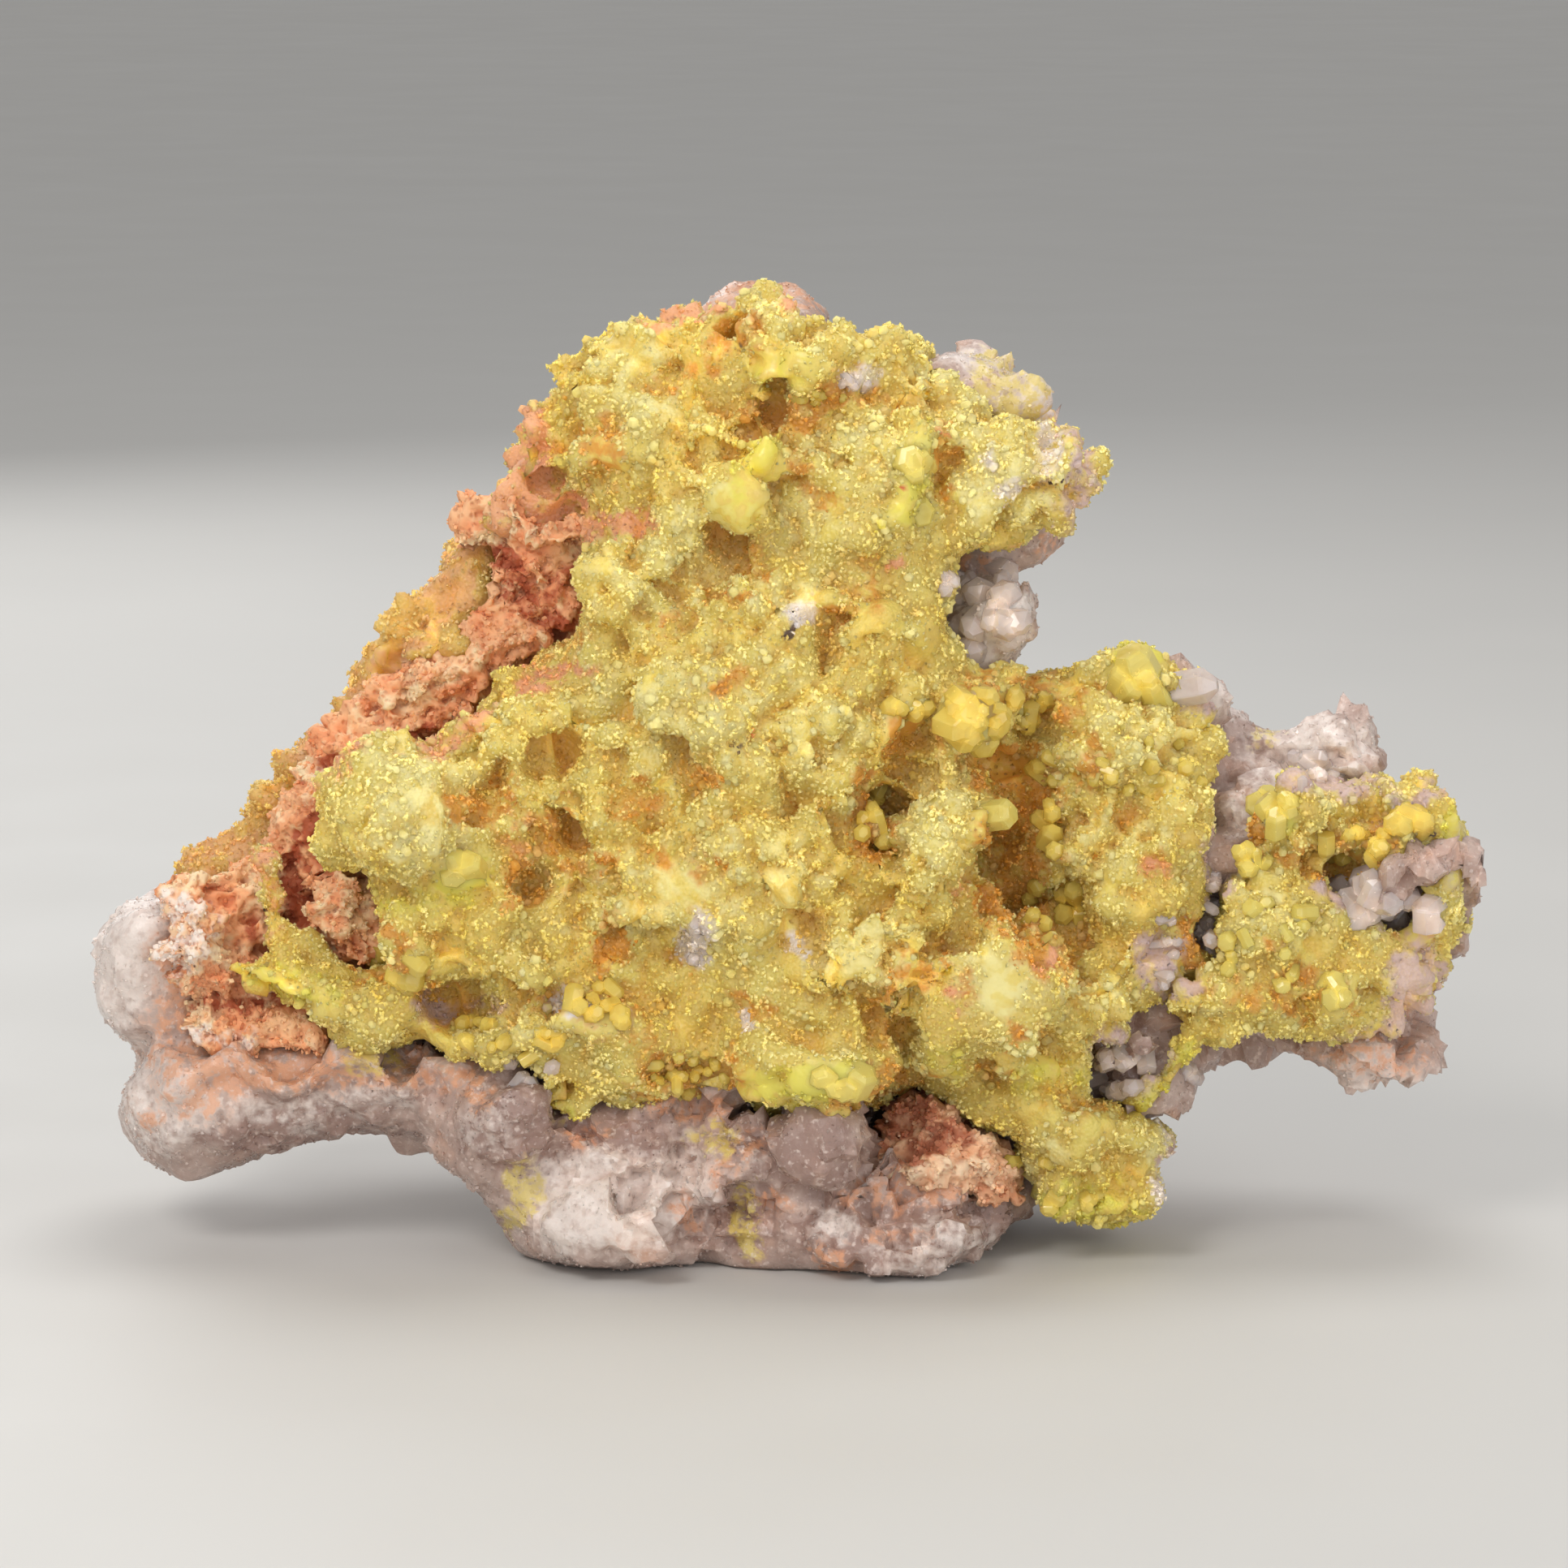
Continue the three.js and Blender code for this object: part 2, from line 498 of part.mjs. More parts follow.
// One mineral body as a named mesh.
function mineralMesh(name, solid, look) {
  const { vertProperties, triVerts } = largestBody(solid.simplify(SLIVER)).getMesh();
  const geometry = new THREE.BufferGeometry();
  geometry.setAttribute("position", new THREE.BufferAttribute(vertProperties, 3));
  geometry.setIndex(new THREE.BufferAttribute(triVerts, 1));
  geometry.computeVertexNormals();
  const mesh = new THREE.Mesh(geometry, new THREE.MeshStandardMaterial({ ...look, flatShading: true }));
  mesh.name = name;
  return mesh;
}

// Each body as it grew, then cut back by the room of the bodies that it grew on
const floor = floorSpace();
const stone = grown(calciteStone);
const face = grown(mainCrust);
const slope = grown(slopeCrust);
const taken = wasm.Manifold.union([stone.room, face.room]);
const faceBody = face.solid.subtract(stone.room).subtract(floor);
const rightBody = grown(rightCrust).solid.subtract(taken);
const bandBody = grown(stainedBand).solid.subtract(taken).subtract(slope.room);
const pocketBody = grown(stainedPocket).solid.subtract(taken);

const specimen = new THREE.Group();
specimen.name = "ettringite_on_calcite";
specimen.add(mineralMesh("calcite_stone", stone.solid.subtract(floor), COLOURS.calcite));
specimen.add(mineralMesh("ettringite_main_crust", faceBody, COLOURS.crust));
specimen.add(mineralMesh("ettringite_right_crust", rightBody, COLOURS.crust));
specimen.add(mineralMesh("ettringite_slope_crust", slope.solid.subtract(taken), COLOURS.slope));
specimen.add(mineralMesh("stained_porous_band", bandBody, COLOURS.porous));
specimen.add(mineralMesh("stained_porous_pocket", pocketBody, COLOURS.porous));

export default specimen;
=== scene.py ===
"""Ettringite on calcite: a hand specimen with sugary yellow crusts on a broken calcite stone.

Each mineral body starts from the solid of the same name. It is skinned finely, its lumps, pits and knots are
raised, and small crystals are grown over it. All places on the front are in millimetres across and up.
"""

import json
import logging
import math
from collections.abc import Iterable
from dataclasses import dataclass, field, replace
from enum import Enum
from itertools import product

import bpy
import numpy as np
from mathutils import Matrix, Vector
from mathutils.bvhtree import BVHTree

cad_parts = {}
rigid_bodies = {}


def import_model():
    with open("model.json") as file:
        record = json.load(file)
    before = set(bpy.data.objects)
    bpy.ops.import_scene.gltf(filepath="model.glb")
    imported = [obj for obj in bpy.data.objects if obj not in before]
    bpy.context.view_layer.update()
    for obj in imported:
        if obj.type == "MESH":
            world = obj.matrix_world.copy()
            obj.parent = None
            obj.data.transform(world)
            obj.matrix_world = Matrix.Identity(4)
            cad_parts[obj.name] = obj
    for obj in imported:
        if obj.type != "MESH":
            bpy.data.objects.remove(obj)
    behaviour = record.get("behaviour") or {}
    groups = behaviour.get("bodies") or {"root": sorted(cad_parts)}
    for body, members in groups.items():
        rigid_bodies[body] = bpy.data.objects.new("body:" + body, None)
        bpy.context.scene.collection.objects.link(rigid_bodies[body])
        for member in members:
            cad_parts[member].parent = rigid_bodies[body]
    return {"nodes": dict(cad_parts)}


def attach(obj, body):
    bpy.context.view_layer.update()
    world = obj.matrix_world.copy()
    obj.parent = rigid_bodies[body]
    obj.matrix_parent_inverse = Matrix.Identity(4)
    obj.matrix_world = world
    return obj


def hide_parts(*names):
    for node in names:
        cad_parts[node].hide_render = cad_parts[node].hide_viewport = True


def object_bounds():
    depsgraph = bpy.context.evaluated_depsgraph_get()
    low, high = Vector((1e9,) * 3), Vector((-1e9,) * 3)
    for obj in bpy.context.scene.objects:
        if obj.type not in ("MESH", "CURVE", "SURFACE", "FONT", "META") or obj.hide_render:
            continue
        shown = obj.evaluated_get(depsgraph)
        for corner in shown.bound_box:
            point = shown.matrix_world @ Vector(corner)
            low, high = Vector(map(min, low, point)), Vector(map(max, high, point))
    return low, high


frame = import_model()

MM = 0.001
LOG = logging.getLogger("specimen")
CAD_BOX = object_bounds()
BOX_LOW = np.array(CAD_BOX[0]) / MM
BOX_HIGH = np.array(CAD_BOX[1]) / MM
# The skins ease off over this edge inside the solids' box, and the crest may pass its top by a little.
BOX_EDGE = 1.2
BOX_EASE = 1.3 * BOX_EDGE
CREST_ROOM = 0.4
# Corners of the solids that lie closer than this are one.
WELD = 0.002
# A grain or crystal is turned about its own axis by up to this, in radians.
SPIN = 6.3
# A fixed turn, so that the cells of the noise don't lie along the axes.
TURNED = np.array([[0.36, 0.48, -0.8], [-0.8, 0.6, 0.0], [0.48, 0.64, 0.6]])


class Tint(Enum):
    """The stains and minerals that colour a surface, with painted light on lumps and painted shade in hollows and pits
    among them, each kept as one attribute of the mesh.
    """

    # Amber: partly the crust's own colour, partly painted shade in its pits.
    AMBER_AND_PAINTED_SHADE = "amber"
    # Pale straw: partly the sugar's own paler colour, partly painted light on the tops of lumps.
    PALE_AND_PAINTED_LIGHT = "pale"
    LEMON = "lemon"
    SALMON = "salmon"
    CHALK = "chalk"
    SPECK = "speck"
    SOOT = "soot"
    WHITE = "white"
    # Mauve: on the crust the stone's own colour; on the stone partly its own and partly painted shade under the bar and
    # the foot.
    MAUVE = "mauve"
    IRON = "iron"
    GREEN = "green"
    # Red-brown: partly the rock's own rust, partly painted shade in pits and under the crust's rim.
    RUST_AND_PAINTED_SHADE = "deep"
    CREAM = "cream"
    WAXY = "waxy"
    # How deep a point lies in a hollow, which the finishes paint as shade.
    HOLLOW_SHADE = "hollow"
    TONE = "tone"


@dataclass(frozen=True)
class Patch:
    """An oval place on the front: its middle, half sizes, how strong it is, and its turn in degrees."""

    across: float
    up: float
    wide: float
    high: float
    amount: float
    turn: float = 0.0

    def reach(self, across: np.ndarray, up: np.ndarray) -> np.ndarray:
        """Gives how far out places lie, as a share of the patch's half size.

        Args:
            across: Places across the front.
            up: Places up the front.

        Returns:
            0 at the middle and 1 on the patch's edge.
        """
        turn = math.radians(self.turn)
        side = across - self.across
        rise = up - self.up
        along = side * math.cos(turn) + rise * math.sin(turn)
        over = rise * math.cos(turn) - side * math.sin(turn)
        return np.hypot(along / self.wide, over / self.high)


def patches(*rows: tuple[float, ...]) -> tuple[Patch, ...]:
    """Reads rows of (across, up, half width, half height, amount, turn) as patches."""
    return tuple(Patch(*row) for row in rows)


# Relief: the amount is the rise in millimetres, negative for pits.
CRUST_RELIEF = patches(
    # Crest and upper face.
    (-8.3, 53, 5.4, 2.7, 0.8), (-1, 56.1, 2, 1.4, 0.8), (-2.9, 54.8, 1.7, 0.8, -1.5, 25),
    (5.1, 54, 2.8, 1.2, 0.6, -15), (0, 53.3, 2.8, 2.2, 1.2), (4.5, 52.3, 1.6, 1, -0.9), (-1, 50.3, 1.3, 0.9, -0.6),
    (1.7, 50.7, 1.2, 1, -0.9), (-9.8, 51.5, 2.9, 2.4, 0.9), (-10.2, 48.6, 1.3, 1.2, 0.7), (-1, 48, 1.6, 1.4, 1),
    (6.7, 47.8, 2.4, 2.7, 1.3), (9.5, 46.7, 0.8, 2.9, -2.4), (13.3, 46, 3.4, 3.1, 1.3), (11, 52.5, 3.3, 1.2, 0.7),
    (-3.1, 45.3, 2.1, 1.9, 1.1), (2.2, 46.9, 2, 1.4, 0.7), (2.1, 45, 0.8, 0.7, -0.7), (3, 43.1, 2, 1.2, 0.7),
    (-3.3, 40.1, 0.9, 0.6, -1), (0.9, 38.8, 1.5, 1.2, 0.6), (5, 37.9, 3.1, 1.9, 1, -10),
    (-9.1, 41, 2.4, 2.2, 0.9, 35), (-6.4, 43.9, 1.7, 1.5, 0.7), (-13, 47.8, 1.9, 1.6, 0.7),
    (-14.4, 49.7, 1.6, 1.4, 0.5), (5.6, 43.6, 1.7, 1.9, 0.6), (-5, 49.7, 2.1, 1.6, 0.5), (-4.5, 52.3, 1.4, 0.8, -0.6),
    (-7.1, 52.1, 1, 0.7, -0.7), (-1.2, 41.7, 0.7, 1, -0.8), (11.5, 50.2, 0.8, 0.6, -0.4),
    # Left block and the pits beside it.
    (-21.5, 27.2, 4.6, 4.4, 2.4), (-15.3, 32.8, 4.3, 2.4, 1, 10), (-18, 27.1, 0.8, 2.1, -1.5, -40),
    (-13.2, 25.8, 1.1, 1.3, -1.5), (-14.9, 22.7, 0.9, 1.3, -1.3), (-13.4, 24.3, 2.8, 2.3, -0.8),
    (-10.1, 19.4, 0.9, 1.6, -1.5), (-21, 20.1, 3.4, 1.4, 0.7), (-22.4, 19.9, 0.9, 0.7, -1.4),
    (-24.6, 19.4, 0.7, 1.4, -1.1), (-16.5, 19.6, 2.6, 2.7, 1.1), (-19.3, 16.3, 1.8, 1.1, -1.7),
    (-10.4, 24.1, 0.8, 0.5, -1, 20), (-6.9, 24.5, 0.7, 0.6, -1), (-8.6, 27.9, 1, 0.9, -0.7),
    (-19.1, 23.6, 2.1, 1.4, 0.6),
    # Middle face.
    (-3.1, 32.3, 6.1, 3.8, 0.6), (-4.7, 29.5, 0.9, 0.9, -1.1), (-2.9, 34.7, 1.6, 0.8, -0.9, 35),
    (5.1, 26.7, 1.3, 2.9, -1.1), (8.6, 26.2, 2.5, 3.9, 2.1), (-4.5, 24.3, 0.8, 0.7, -0.8),
    (-1.7, 24.3, 3.8, 2.8, 0.6), (-8.7, 22, 3.3, 1.9, 0.5), (0.7, 29, 2.8, 2.4, 0.5), (-10.6, 31.9, 2.4, 1.9, 0.5),
    (-7.8, 35.6, 2.8, 1.9, 0.5), (2.5, 34.2, 2.4, 2.1, 0.5), (5.6, 31.6, 1.4, 2.4, 0.6),
    # Knots and hollows between the face and the right middle.
    (10.8, 32.4, 2.2, 2.4, 2), (7.2, 31.2, 1.3, 1, -2), (12.9, 29.8, 2.2, 0.9, -2, 15), (13, 24.3, 1.2, 4.2, -1.9),
    (12.2, 21.9, 0.9, 1.3, -1.6), (12.2, 24.3, 0.7, 0.9, -1.4), (12.4, 34.2, 3.3, 1.4, 0.7),
    (16.6, 33.7, 1.1, 1.1, -0.6),
    # Right middle.
    (20.4, 30.7, 5.3, 3.9, 1.1), (19.5, 24.4, 4.6, 3.7, 0.8), (14.9, 26.7, 1.3, 2.8, -1),
    (20.1, 27.2, 0.7, 0.7, -0.6), (16.7, 22.5, 1.4, 1.1, -0.9), (21.3, 34.2, 2.8, 1.1, 0.6, 10),
    (17.8, 30.5, 1, 1.6, -0.6), (23, 26.7, 1.9, 2.8, 0.5), (15.2, 20.1, 1.6, 1.9, -1), (21.3, 23.9, 1.1, 0.8, -0.4),
    # Nose, bulge and lower front.
    (4.7, 18.5, 3.1, 2.7, 2.7), (7.3, 19.3, 1.1, 1.1, 1.1), (11.4, 17.1, 3.6, 3.3, 2.8),
    (7.3, 15.7, 1.1, 2.6, -1.8, 10), (17.3, 16.3, 2.8, 2.2, 1.2), (13.6, 14.5, 0.9, 0.7, -0.8),
    (19.9, 18.2, 2.4, 1.4, 0.5),
    # Lower rim.
    (1.7, 12, 3.4, 1.8, 1.4), (-1.7, 13.4, 2.4, 2, 0.9), (8.6, 13.4, 2.1, 2.1, 0.9), (-17.2, 14, 3.4, 1.3, 0.8, 5),
    (-11.6, 14.9, 3.3, 1.7, 0.7), (-5.5, 11.8, 3.5, 1.4, -1.2), (-23.5, 15.9, 3.2, 1.6, 0.8),
    (-29, 17.8, 4.3, 0.9, 0.9, -18), (17.1, 7.4, 4.3, 3.3, 0.9), (20.4, 4.6, 2.2, 1.6, 0.6),
    (13.8, 11.2, 2.8, 1.8, 0.7), (11.7, 12.1, 1, 0.8, -0.9), (5.8, 14.9, 1.2, 1.4, -0.9), (3.5, 9.4, 1.9, 1.1, 0.4),
    (-6.9, 15.9, 2.8, 1.9, 0.5),
    # Knob's edge, bar's edge, the hollow under the left shoulder and the small pits of the left block.
    (-13, 8.4, 0.8, 2.4, 0.6, 15), (15.7, 47.1, 1.6, 4.2, 1),
    (-13, 9.8, 0.6, 2.1, 1.2, -8), (-14.1, 46, 0.8, 1.2, -1.6), (-15.3, 43.6, 2.4, 1.1, 0.8, -10),
    (-12.5, 44.1, 0.9, 1.4, -0.9), (-12.2, 26.9, 0.6, 0.5, -0.9), (-14.3, 26.5, 0.5, 0.7, -0.9),
    (-15.7, 23.7, 0.5, 0.5, -0.8), (-14, 21.7, 0.5, 0.6, -0.8), (-9.3, 20.7, 0.5, 0.5, -0.8),
    (-10.9, 18.1, 0.5, 0.4, -0.8), (-12.4, 24.4, 0.6, 0.4, -0.8, 30), (-11.6, 26, 0.4, 0.4, -0.7),
)
RIGHT_RELIEF = patches(
    (29.3, 27, 2.2, 1.7, 1.1), (36.3, 26.6, 2.5, 2.1, 1), (26.5, 26.6, 1, 2.3, -1.8), (28, 21, 3.3, 2.8, 1),
    (30.8, 24.3, 2.4, 0.5, -1), (34.6, 18.1, 2.2, 2.2, 0.7), (32.1, 16.5, 1.2, 1.1, 0.6), (24.3, 16.4, 2.2, 1.6, 0.7),
    (23.7, 19.6, 0.7, 1.3, -2.2), (30.3, 15.4, 1.4, 0.8, -0.8, 40), (27.2, 24.1, 1.1, 1, 0.6),
    (36.1, 22.9, 2.4, 1.6, 1.2, -15),
)
CALCITE_RELIEF = patches(
    # Under the crust's lower rim.
    (-3.7, 10.2, 2.8, 1.6, 2.4), (-7.8, 10.7, 2.4, 1.2, 1),
    # Bar.
    (-34.5, 9.7, 3.8, 2.4, 0.6), (-25.2, 11.1, 4.7, 1.9, 0.5), (-16.1, 9.7, 2.9, 3.1, 1.2),
    (-12.8, 8.8, 0.4, 3.3, -1.2, 10), (-19.6, 11.2, 0.6, 1.9, -0.9, 20), (-29.9, 11.7, 2.4, 1.9, 0.4),
    (-36.8, 9.4, 0.8, 0.6, 0.4), (-21.9, 9.8, 2.4, 1.4, 0.3), (-38, 20.1, 2.4, 2.8, 0.6), (-36, 16.4, 1.9, 1.9, 0.3),
    # Foot.
    (-9.1, 8.4, 3.8, 2.1, 0.6), (-10.5, 4.1, 4.2, 2.5, 1), (-2.9, 7.1, 2.3, 1.4, 1, 30), (1.6, 7.8, 2.1, 1.6, 1.2),
    (-5.4, 6.7, 0.4, 1.6, -1.1), (-5.8, 4, 0.8, 1.2, -0.9, 30), (-1.6, 3.5, 0.7, 1.4, -0.9),
    (-6.4, 5.3, 1.4, 1.9, 0.5, 20), (5.8, 3.7, 2.8, 1.1, 0.6, -8), (6.3, 2.5, 3.8, 0.3, -0.9, -6),
    (8.6, 1.8, 3.3, 0.8, 0.5, 8), (-0.5, 6.5, 0.4, 1.6, -1), (2.1, 1.6, 2.8, 0.8, 0.4),
    (10.3, 5.1, 2.4, 0.8, 0.6, 10), (-13, 2.3, 2.8, 1.1, 0.4),
    # Knob, right middle and right lobe.
    (11.9, 39.4, 2.1, 1.4, 0.7), (12.9, 38, 1.7, 1.6, 0.7), (9.8, 40.1, 1.6, 1.4, -0.7), (7.5, 35.6, 1.6, 2.1, 0.5),
    (31.6, 31.3, 2.8, 1.3, 0.7), (27.9, 29.8, 1.7, 0.9, -0.5), (34, 13.3, 2.2, 1.6, 0.7), (34.5, 21.5, 2.4, 1.2, 0.6),
    # Edges of the knob and the lobe, and more of the bar and the foot.
    (16.9, 47.8, 1.2, 4.7, -1.6), (-34.1, 19.4, 2.1, 3.8, 0.3), (34.2, 22.4, 2.8, 2, 4.6, -15),
    (26.1, 24.8, 1.6, 5.2, 2.4, 4), (-13, 10.7, 0.8, 2.8, -1.4, -8), (3.5, 2, 2.8, 1.2, 0.8),
    (9.1, 2.3, 2.8, 1.1, 0.6, -6), (-6.9, 0.8, 2.4, 0.7, 0.5), (36.3, 21.1, 1.3, 1.4, 4),
    (-32.7, 12.5, 3.3, 1.2, 1.5), (-26.6, 12.1, 3.8, 1.1, 1.3), (-21, 11.9, 2.8, 1, 1),
)
BAND_RELIEF = patches(
    (-13.9, 46, 0.8, 1.3, -2.2), (-16.2, 41.7, 1.2, 0.7, -1.8, -20), (-13.2, 38.4, 0.8, 0.8, -1.6),
    (-16.6, 43.4, 1.7, 0.8, 0.9), (-11.5, 42.6, 1.4, 0.9, 0.6, 30), (-9.3, 44.1, 1.2, 0.7, 0.5),
    (-14.6, 39.4, 1.1, 1.1, -1), (-26.8, 25.3, 1.1, 1.4, -2.4), (-28.2, 20.6, 0.8, 1.6, -2),
    (-28.5, 23.4, 0.4, 2.8, -1.2), (-26.1, 26.7, 0.9, 0.8, -1.4), (-25.4, 21.5, 2.4, 1.4, 0.6),
    (-26.4, 18.2, 1.9, 1, 0.5), (-33.7, 18.7, 2.4, 1.4, 0.6), (-31.3, 22.9, 1.9, 1.9, 0.4),
    (-31.3, 15.9, 3.3, 0.7, -0.8), (-34.1, 14.7, 3.3, 0.9, 0.5), (-30.8, 20.8, 0.5, 0.9, -1),
    (-21, 31.6, 1.4, 0.6, -1, 25), (-25.2, 30.2, 1.9, 0.6, -1.2, 25), (-19.1, 35.2, 2.4, 0.8, 0.6, 25),
    (-21.9, 33.7, 2.1, 1, 0.5, 25), (-33.3, 19.2, 1.6, 3.9, 1.4), (-14.4, 43.4, 3.3, 1, 1.6, -5),
    (-16.3, 41.3, 2.4, 1.4, 0.5), (-33.6, 19.4, 2.4, 3.6, 1.4), (-15.3, 48.6, 2.4, 2.8, -0.4),
    (-16.7, 46, 1.1, 0.9, -0.9), (-14.6, 47.8, 0.8, 0.8, -0.7),
)
SLOPE_RELIEF = patches(
    (-21.3, 38, 2.1, 2.1, 0.7), (-23.7, 34.8, 2, 1.8, 0.6), (-25.2, 32.6, 2, 1.6, 0.5), (-27.9, 30.5, 1.9, 1.9, 0.6),
    (-29.3, 27.6, 2.4, 1.3, 0.5), (-19.1, 41, 1.4, 1.2, 0.5), (-33.7, 24.3, 2.4, 1, 0.6), (-19.8, 37, 1.2, 0.9, 0.4),
    (-26.4, 31.6, 0.5, 1.4, -0.7), (-22.4, 36.3, 0.5, 1.6, -0.7, 30),
)
POCKET_RELIEF = patches(
    (6.8, 9.5, 1.6, 0.9, -0.9), (9.1, 7.9, 1.6, 0.9, -0.6), (7.7, 6, 1.9, 0.8, 0.6), (11, 7, 1.4, 0.7, 0.4),
    (5.8, 6.5, 1.2, 0.7, 0.5),
)
# Stains, with painted light on lumps and painted shade in pits among them: the amount is how strongly they cover.
# Amber: partly the crust's own honey colour, partly painted shade in the pits.
AMBER_AND_PAINTED_SHADE = patches(
    (-2.9, 54.7, 1.8, 1, 0.95, 25), (-7.1, 52.1, 1, 0.8, 0.8), (-4.5, 52.6, 1.3, 0.8, 0.5), (-1, 50.3, 1.4, 1, 1.1),
    (2, 50.7, 2.1, 1, 0.85), (4.7, 51.5, 1.9, 1.5, 0.5), (1.6, 49.4, 1.5, 0.6, 0.8), (-10.2, 48.5, 1.3, 1.2, 0.75),
    (-12.5, 48.5, 2, 0.7, 0.7), (-10.2, 46.9, 1.4, 1.3, 0.35), (9.5, 47.1, 0.6, 2.9, 0.9), (2.1, 45, 0.9, 0.8, 0.9),
    (1, 46.9, 1.2, 1.1, 0.45), (-1.2, 41.7, 0.8, 1.1, 0.6), (-3.3, 40, 1, 0.7, 0.8), (4.7, 40.5, 1.4, 1.4, 0.55),
    (2.6, 39.1, 1.4, 0.8, 0.6), (-6.8, 38.2, 1.2, 0.9, 0.55), (-3, 34.8, 1.5, 0.8, 0.75, 35),
    (-18.5, 27.6, 1.9, 1, 1, -40), (-16.3, 27.9, 1.3, 2.4, 0.45), (-13.2, 25.8, 1.2, 1.4, 1.3),
    (-14.9, 22.7, 1, 1.3, 1.3), (-13.4, 24.3, 2.8, 2.3, 0.35), (-10.1, 19.4, 1, 1.7, 1.3),
    (-8.6, 27.9, 1.3, 1.1, 0.6), (-4.7, 29.6, 1, 1, 0.9), (-7.1, 24.7, 0.9, 0.8, 0.75),
    (-10.4, 24.1, 0.9, 0.6, 0.8, 20), (-4.5, 24.3, 1, 0.8, 0.6), (-6, 18.6, 0.6, 0.7, 0.7),
    (5.1, 26.7, 1.5, 3.1, 0.9), (7.2, 31.2, 1.4, 1.1, 1.3), (12.9, 29.8, 2.2, 1.2, 1.3, 15),
    (13.3, 24.3, 2, 4.7, 0.95), (12.2, 21.9, 1, 1.4, 1.4), (12.2, 24.3, 0.7, 1, 1.3), (14.9, 27.2, 1.6, 3.3, 0.75),
    (15, 20.1, 1.7, 2.8, 0.8), (17.8, 30.5, 1.1, 1.8, 0.55), (20.2, 27.2, 0.9, 0.8, 0.8),
    (21.3, 23.9, 1.3, 0.8, 0.45), (10.1, 17, 1.6, 1.2, 0.5), (7.7, 18.1, 1.3, 1.4, 0.6), (-22.4, 19.9, 1.6, 0.8, 1),
    (-24.5, 19.4, 0.8, 1.6, 0.7), (-22.6, 17.8, 2.4, 1.1, 0.5), (-19.3, 16.1, 1.9, 1.2, 1),
    (-10.6, 16.1, 2.8, 1.6, 0.45), (-13.9, 15.9, 1.1, 0.8, 0.6), (-5.5, 11.8, 3.7, 1.7, 1),
    (-7.8, 14.4, 1.4, 0.7, 0.5), (-1.9, 16.1, 1.5, 0.8, 0.6), (5.9, 15.3, 1.1, 1.9, 0.7), (13.7, 14.5, 0.9, 0.7, 0.8),
    (12.2, 12.4, 1.4, 0.8, 0.6), (6.4, 11.6, 2.8, 1.2, 0.65), (3.6, 9.5, 2.1, 1.2, 0.6), (12.9, 34.5, 2.9, 1.4, 0.55),
    (15.9, 33.7, 1.9, 1.6, 0.5), (19.1, 34.2, 1.4, 0.6, 0.6), (16.2, 18.2, 1.4, 0.8, 0.6),
    (10.1, 31.4, 2.8, 2.4, 0.3), (17.1, 10.7, 2.8, 1.2, 0.3), (-13, 36.6, 2.8, 1.4, 0.3, 30),
    (26.5, 26.6, 1.1, 2.3, 1.3), (31.7, 24.3, 2.2, 0.9, 0.8), (29.8, 24.8, 2.4, 0.6, 0.75),
    (33.6, 25.3, 2.4, 1.9, 0.45), (23.7, 19.6, 0.8, 1.5, 1.4), (27.9, 20, 1, 0.8, 0.4), (26, 16.7, 3.3, 1.3, 0.35),
    (29.8, 16.7, 1.3, 1.9, 0.6), (32.1, 16.4, 1.2, 1.1, 0.5), (36.4, 20, 1, 0.8, 0.45), (21.5, 13.2, 0.4, 0.8, 1.2),
)
# Pale straw on the lumps: partly the sugar's own paler colour, partly painted light on their tops.
PALE_AND_PAINTED_LIGHT = patches(
    (-8.7, 52.1, 3.6, 2.5, 0.55), (-0.8, 55.9, 2.2, 1.1, 0.55), (4.4, 48.3, 4.1, 2.8, 0.4), (9.1, 52.1, 2.2, 1.1, 1),
    (12.6, 52.5, 2.9, 1.3, 1.1), (13.3, 47.3, 2, 1.4, 0.8), (-6.4, 41.3, 5.2, 4.2, 0.5), (1.6, 44.1, 3.3, 2.4, 0.4),
    (0.4, 39.6, 2.2, 1.4, 0.8), (-3.1, 32.8, 9.4, 3.8, 0.45), (-21, 27.2, 4.2, 3.3, 0.65),
    (-22.4, 30.4, 2.8, 0.9, 0.6), (-8.7, 22.5, 5.2, 3.3, 0.4), (-4.6, 19.4, 2, 1.4, 0.7),
    (-1.7, 23.4, 4.7, 3.8, 0.45), (8.6, 26.6, 2.3, 3.3, 0.5), (4.5, 19.1, 2.9, 2, 0.95), (11.7, 17.3, 3.2, 2.7, 0.75),
    (20.4, 31.8, 4.3, 2.4, 0.6), (19, 25.3, 3.7, 2.4, 0.5), (17.3, 16.3, 2.4, 1.4, 0.5), (27.5, 21.5, 2.8, 2.8, 0.45),
    (21.9, 6.5, 0.7, 3.8, 1), (-11.1, 15.4, 2.8, 0.8, 0.5), (-16.3, 14.6, 2.8, 0.8, 0.5), (24.2, 16.4, 1.4, 1.1, 0.4),
    (-4, 44.1, 1.4, 2.8, 0.3), (14.3, 6.5, 1.9, 1.9, 0.4), (13.1, 47.1, 4.2, 4.2, 0.6), (11.9, 52.1, 4.2, 1.9, 0.9),
)
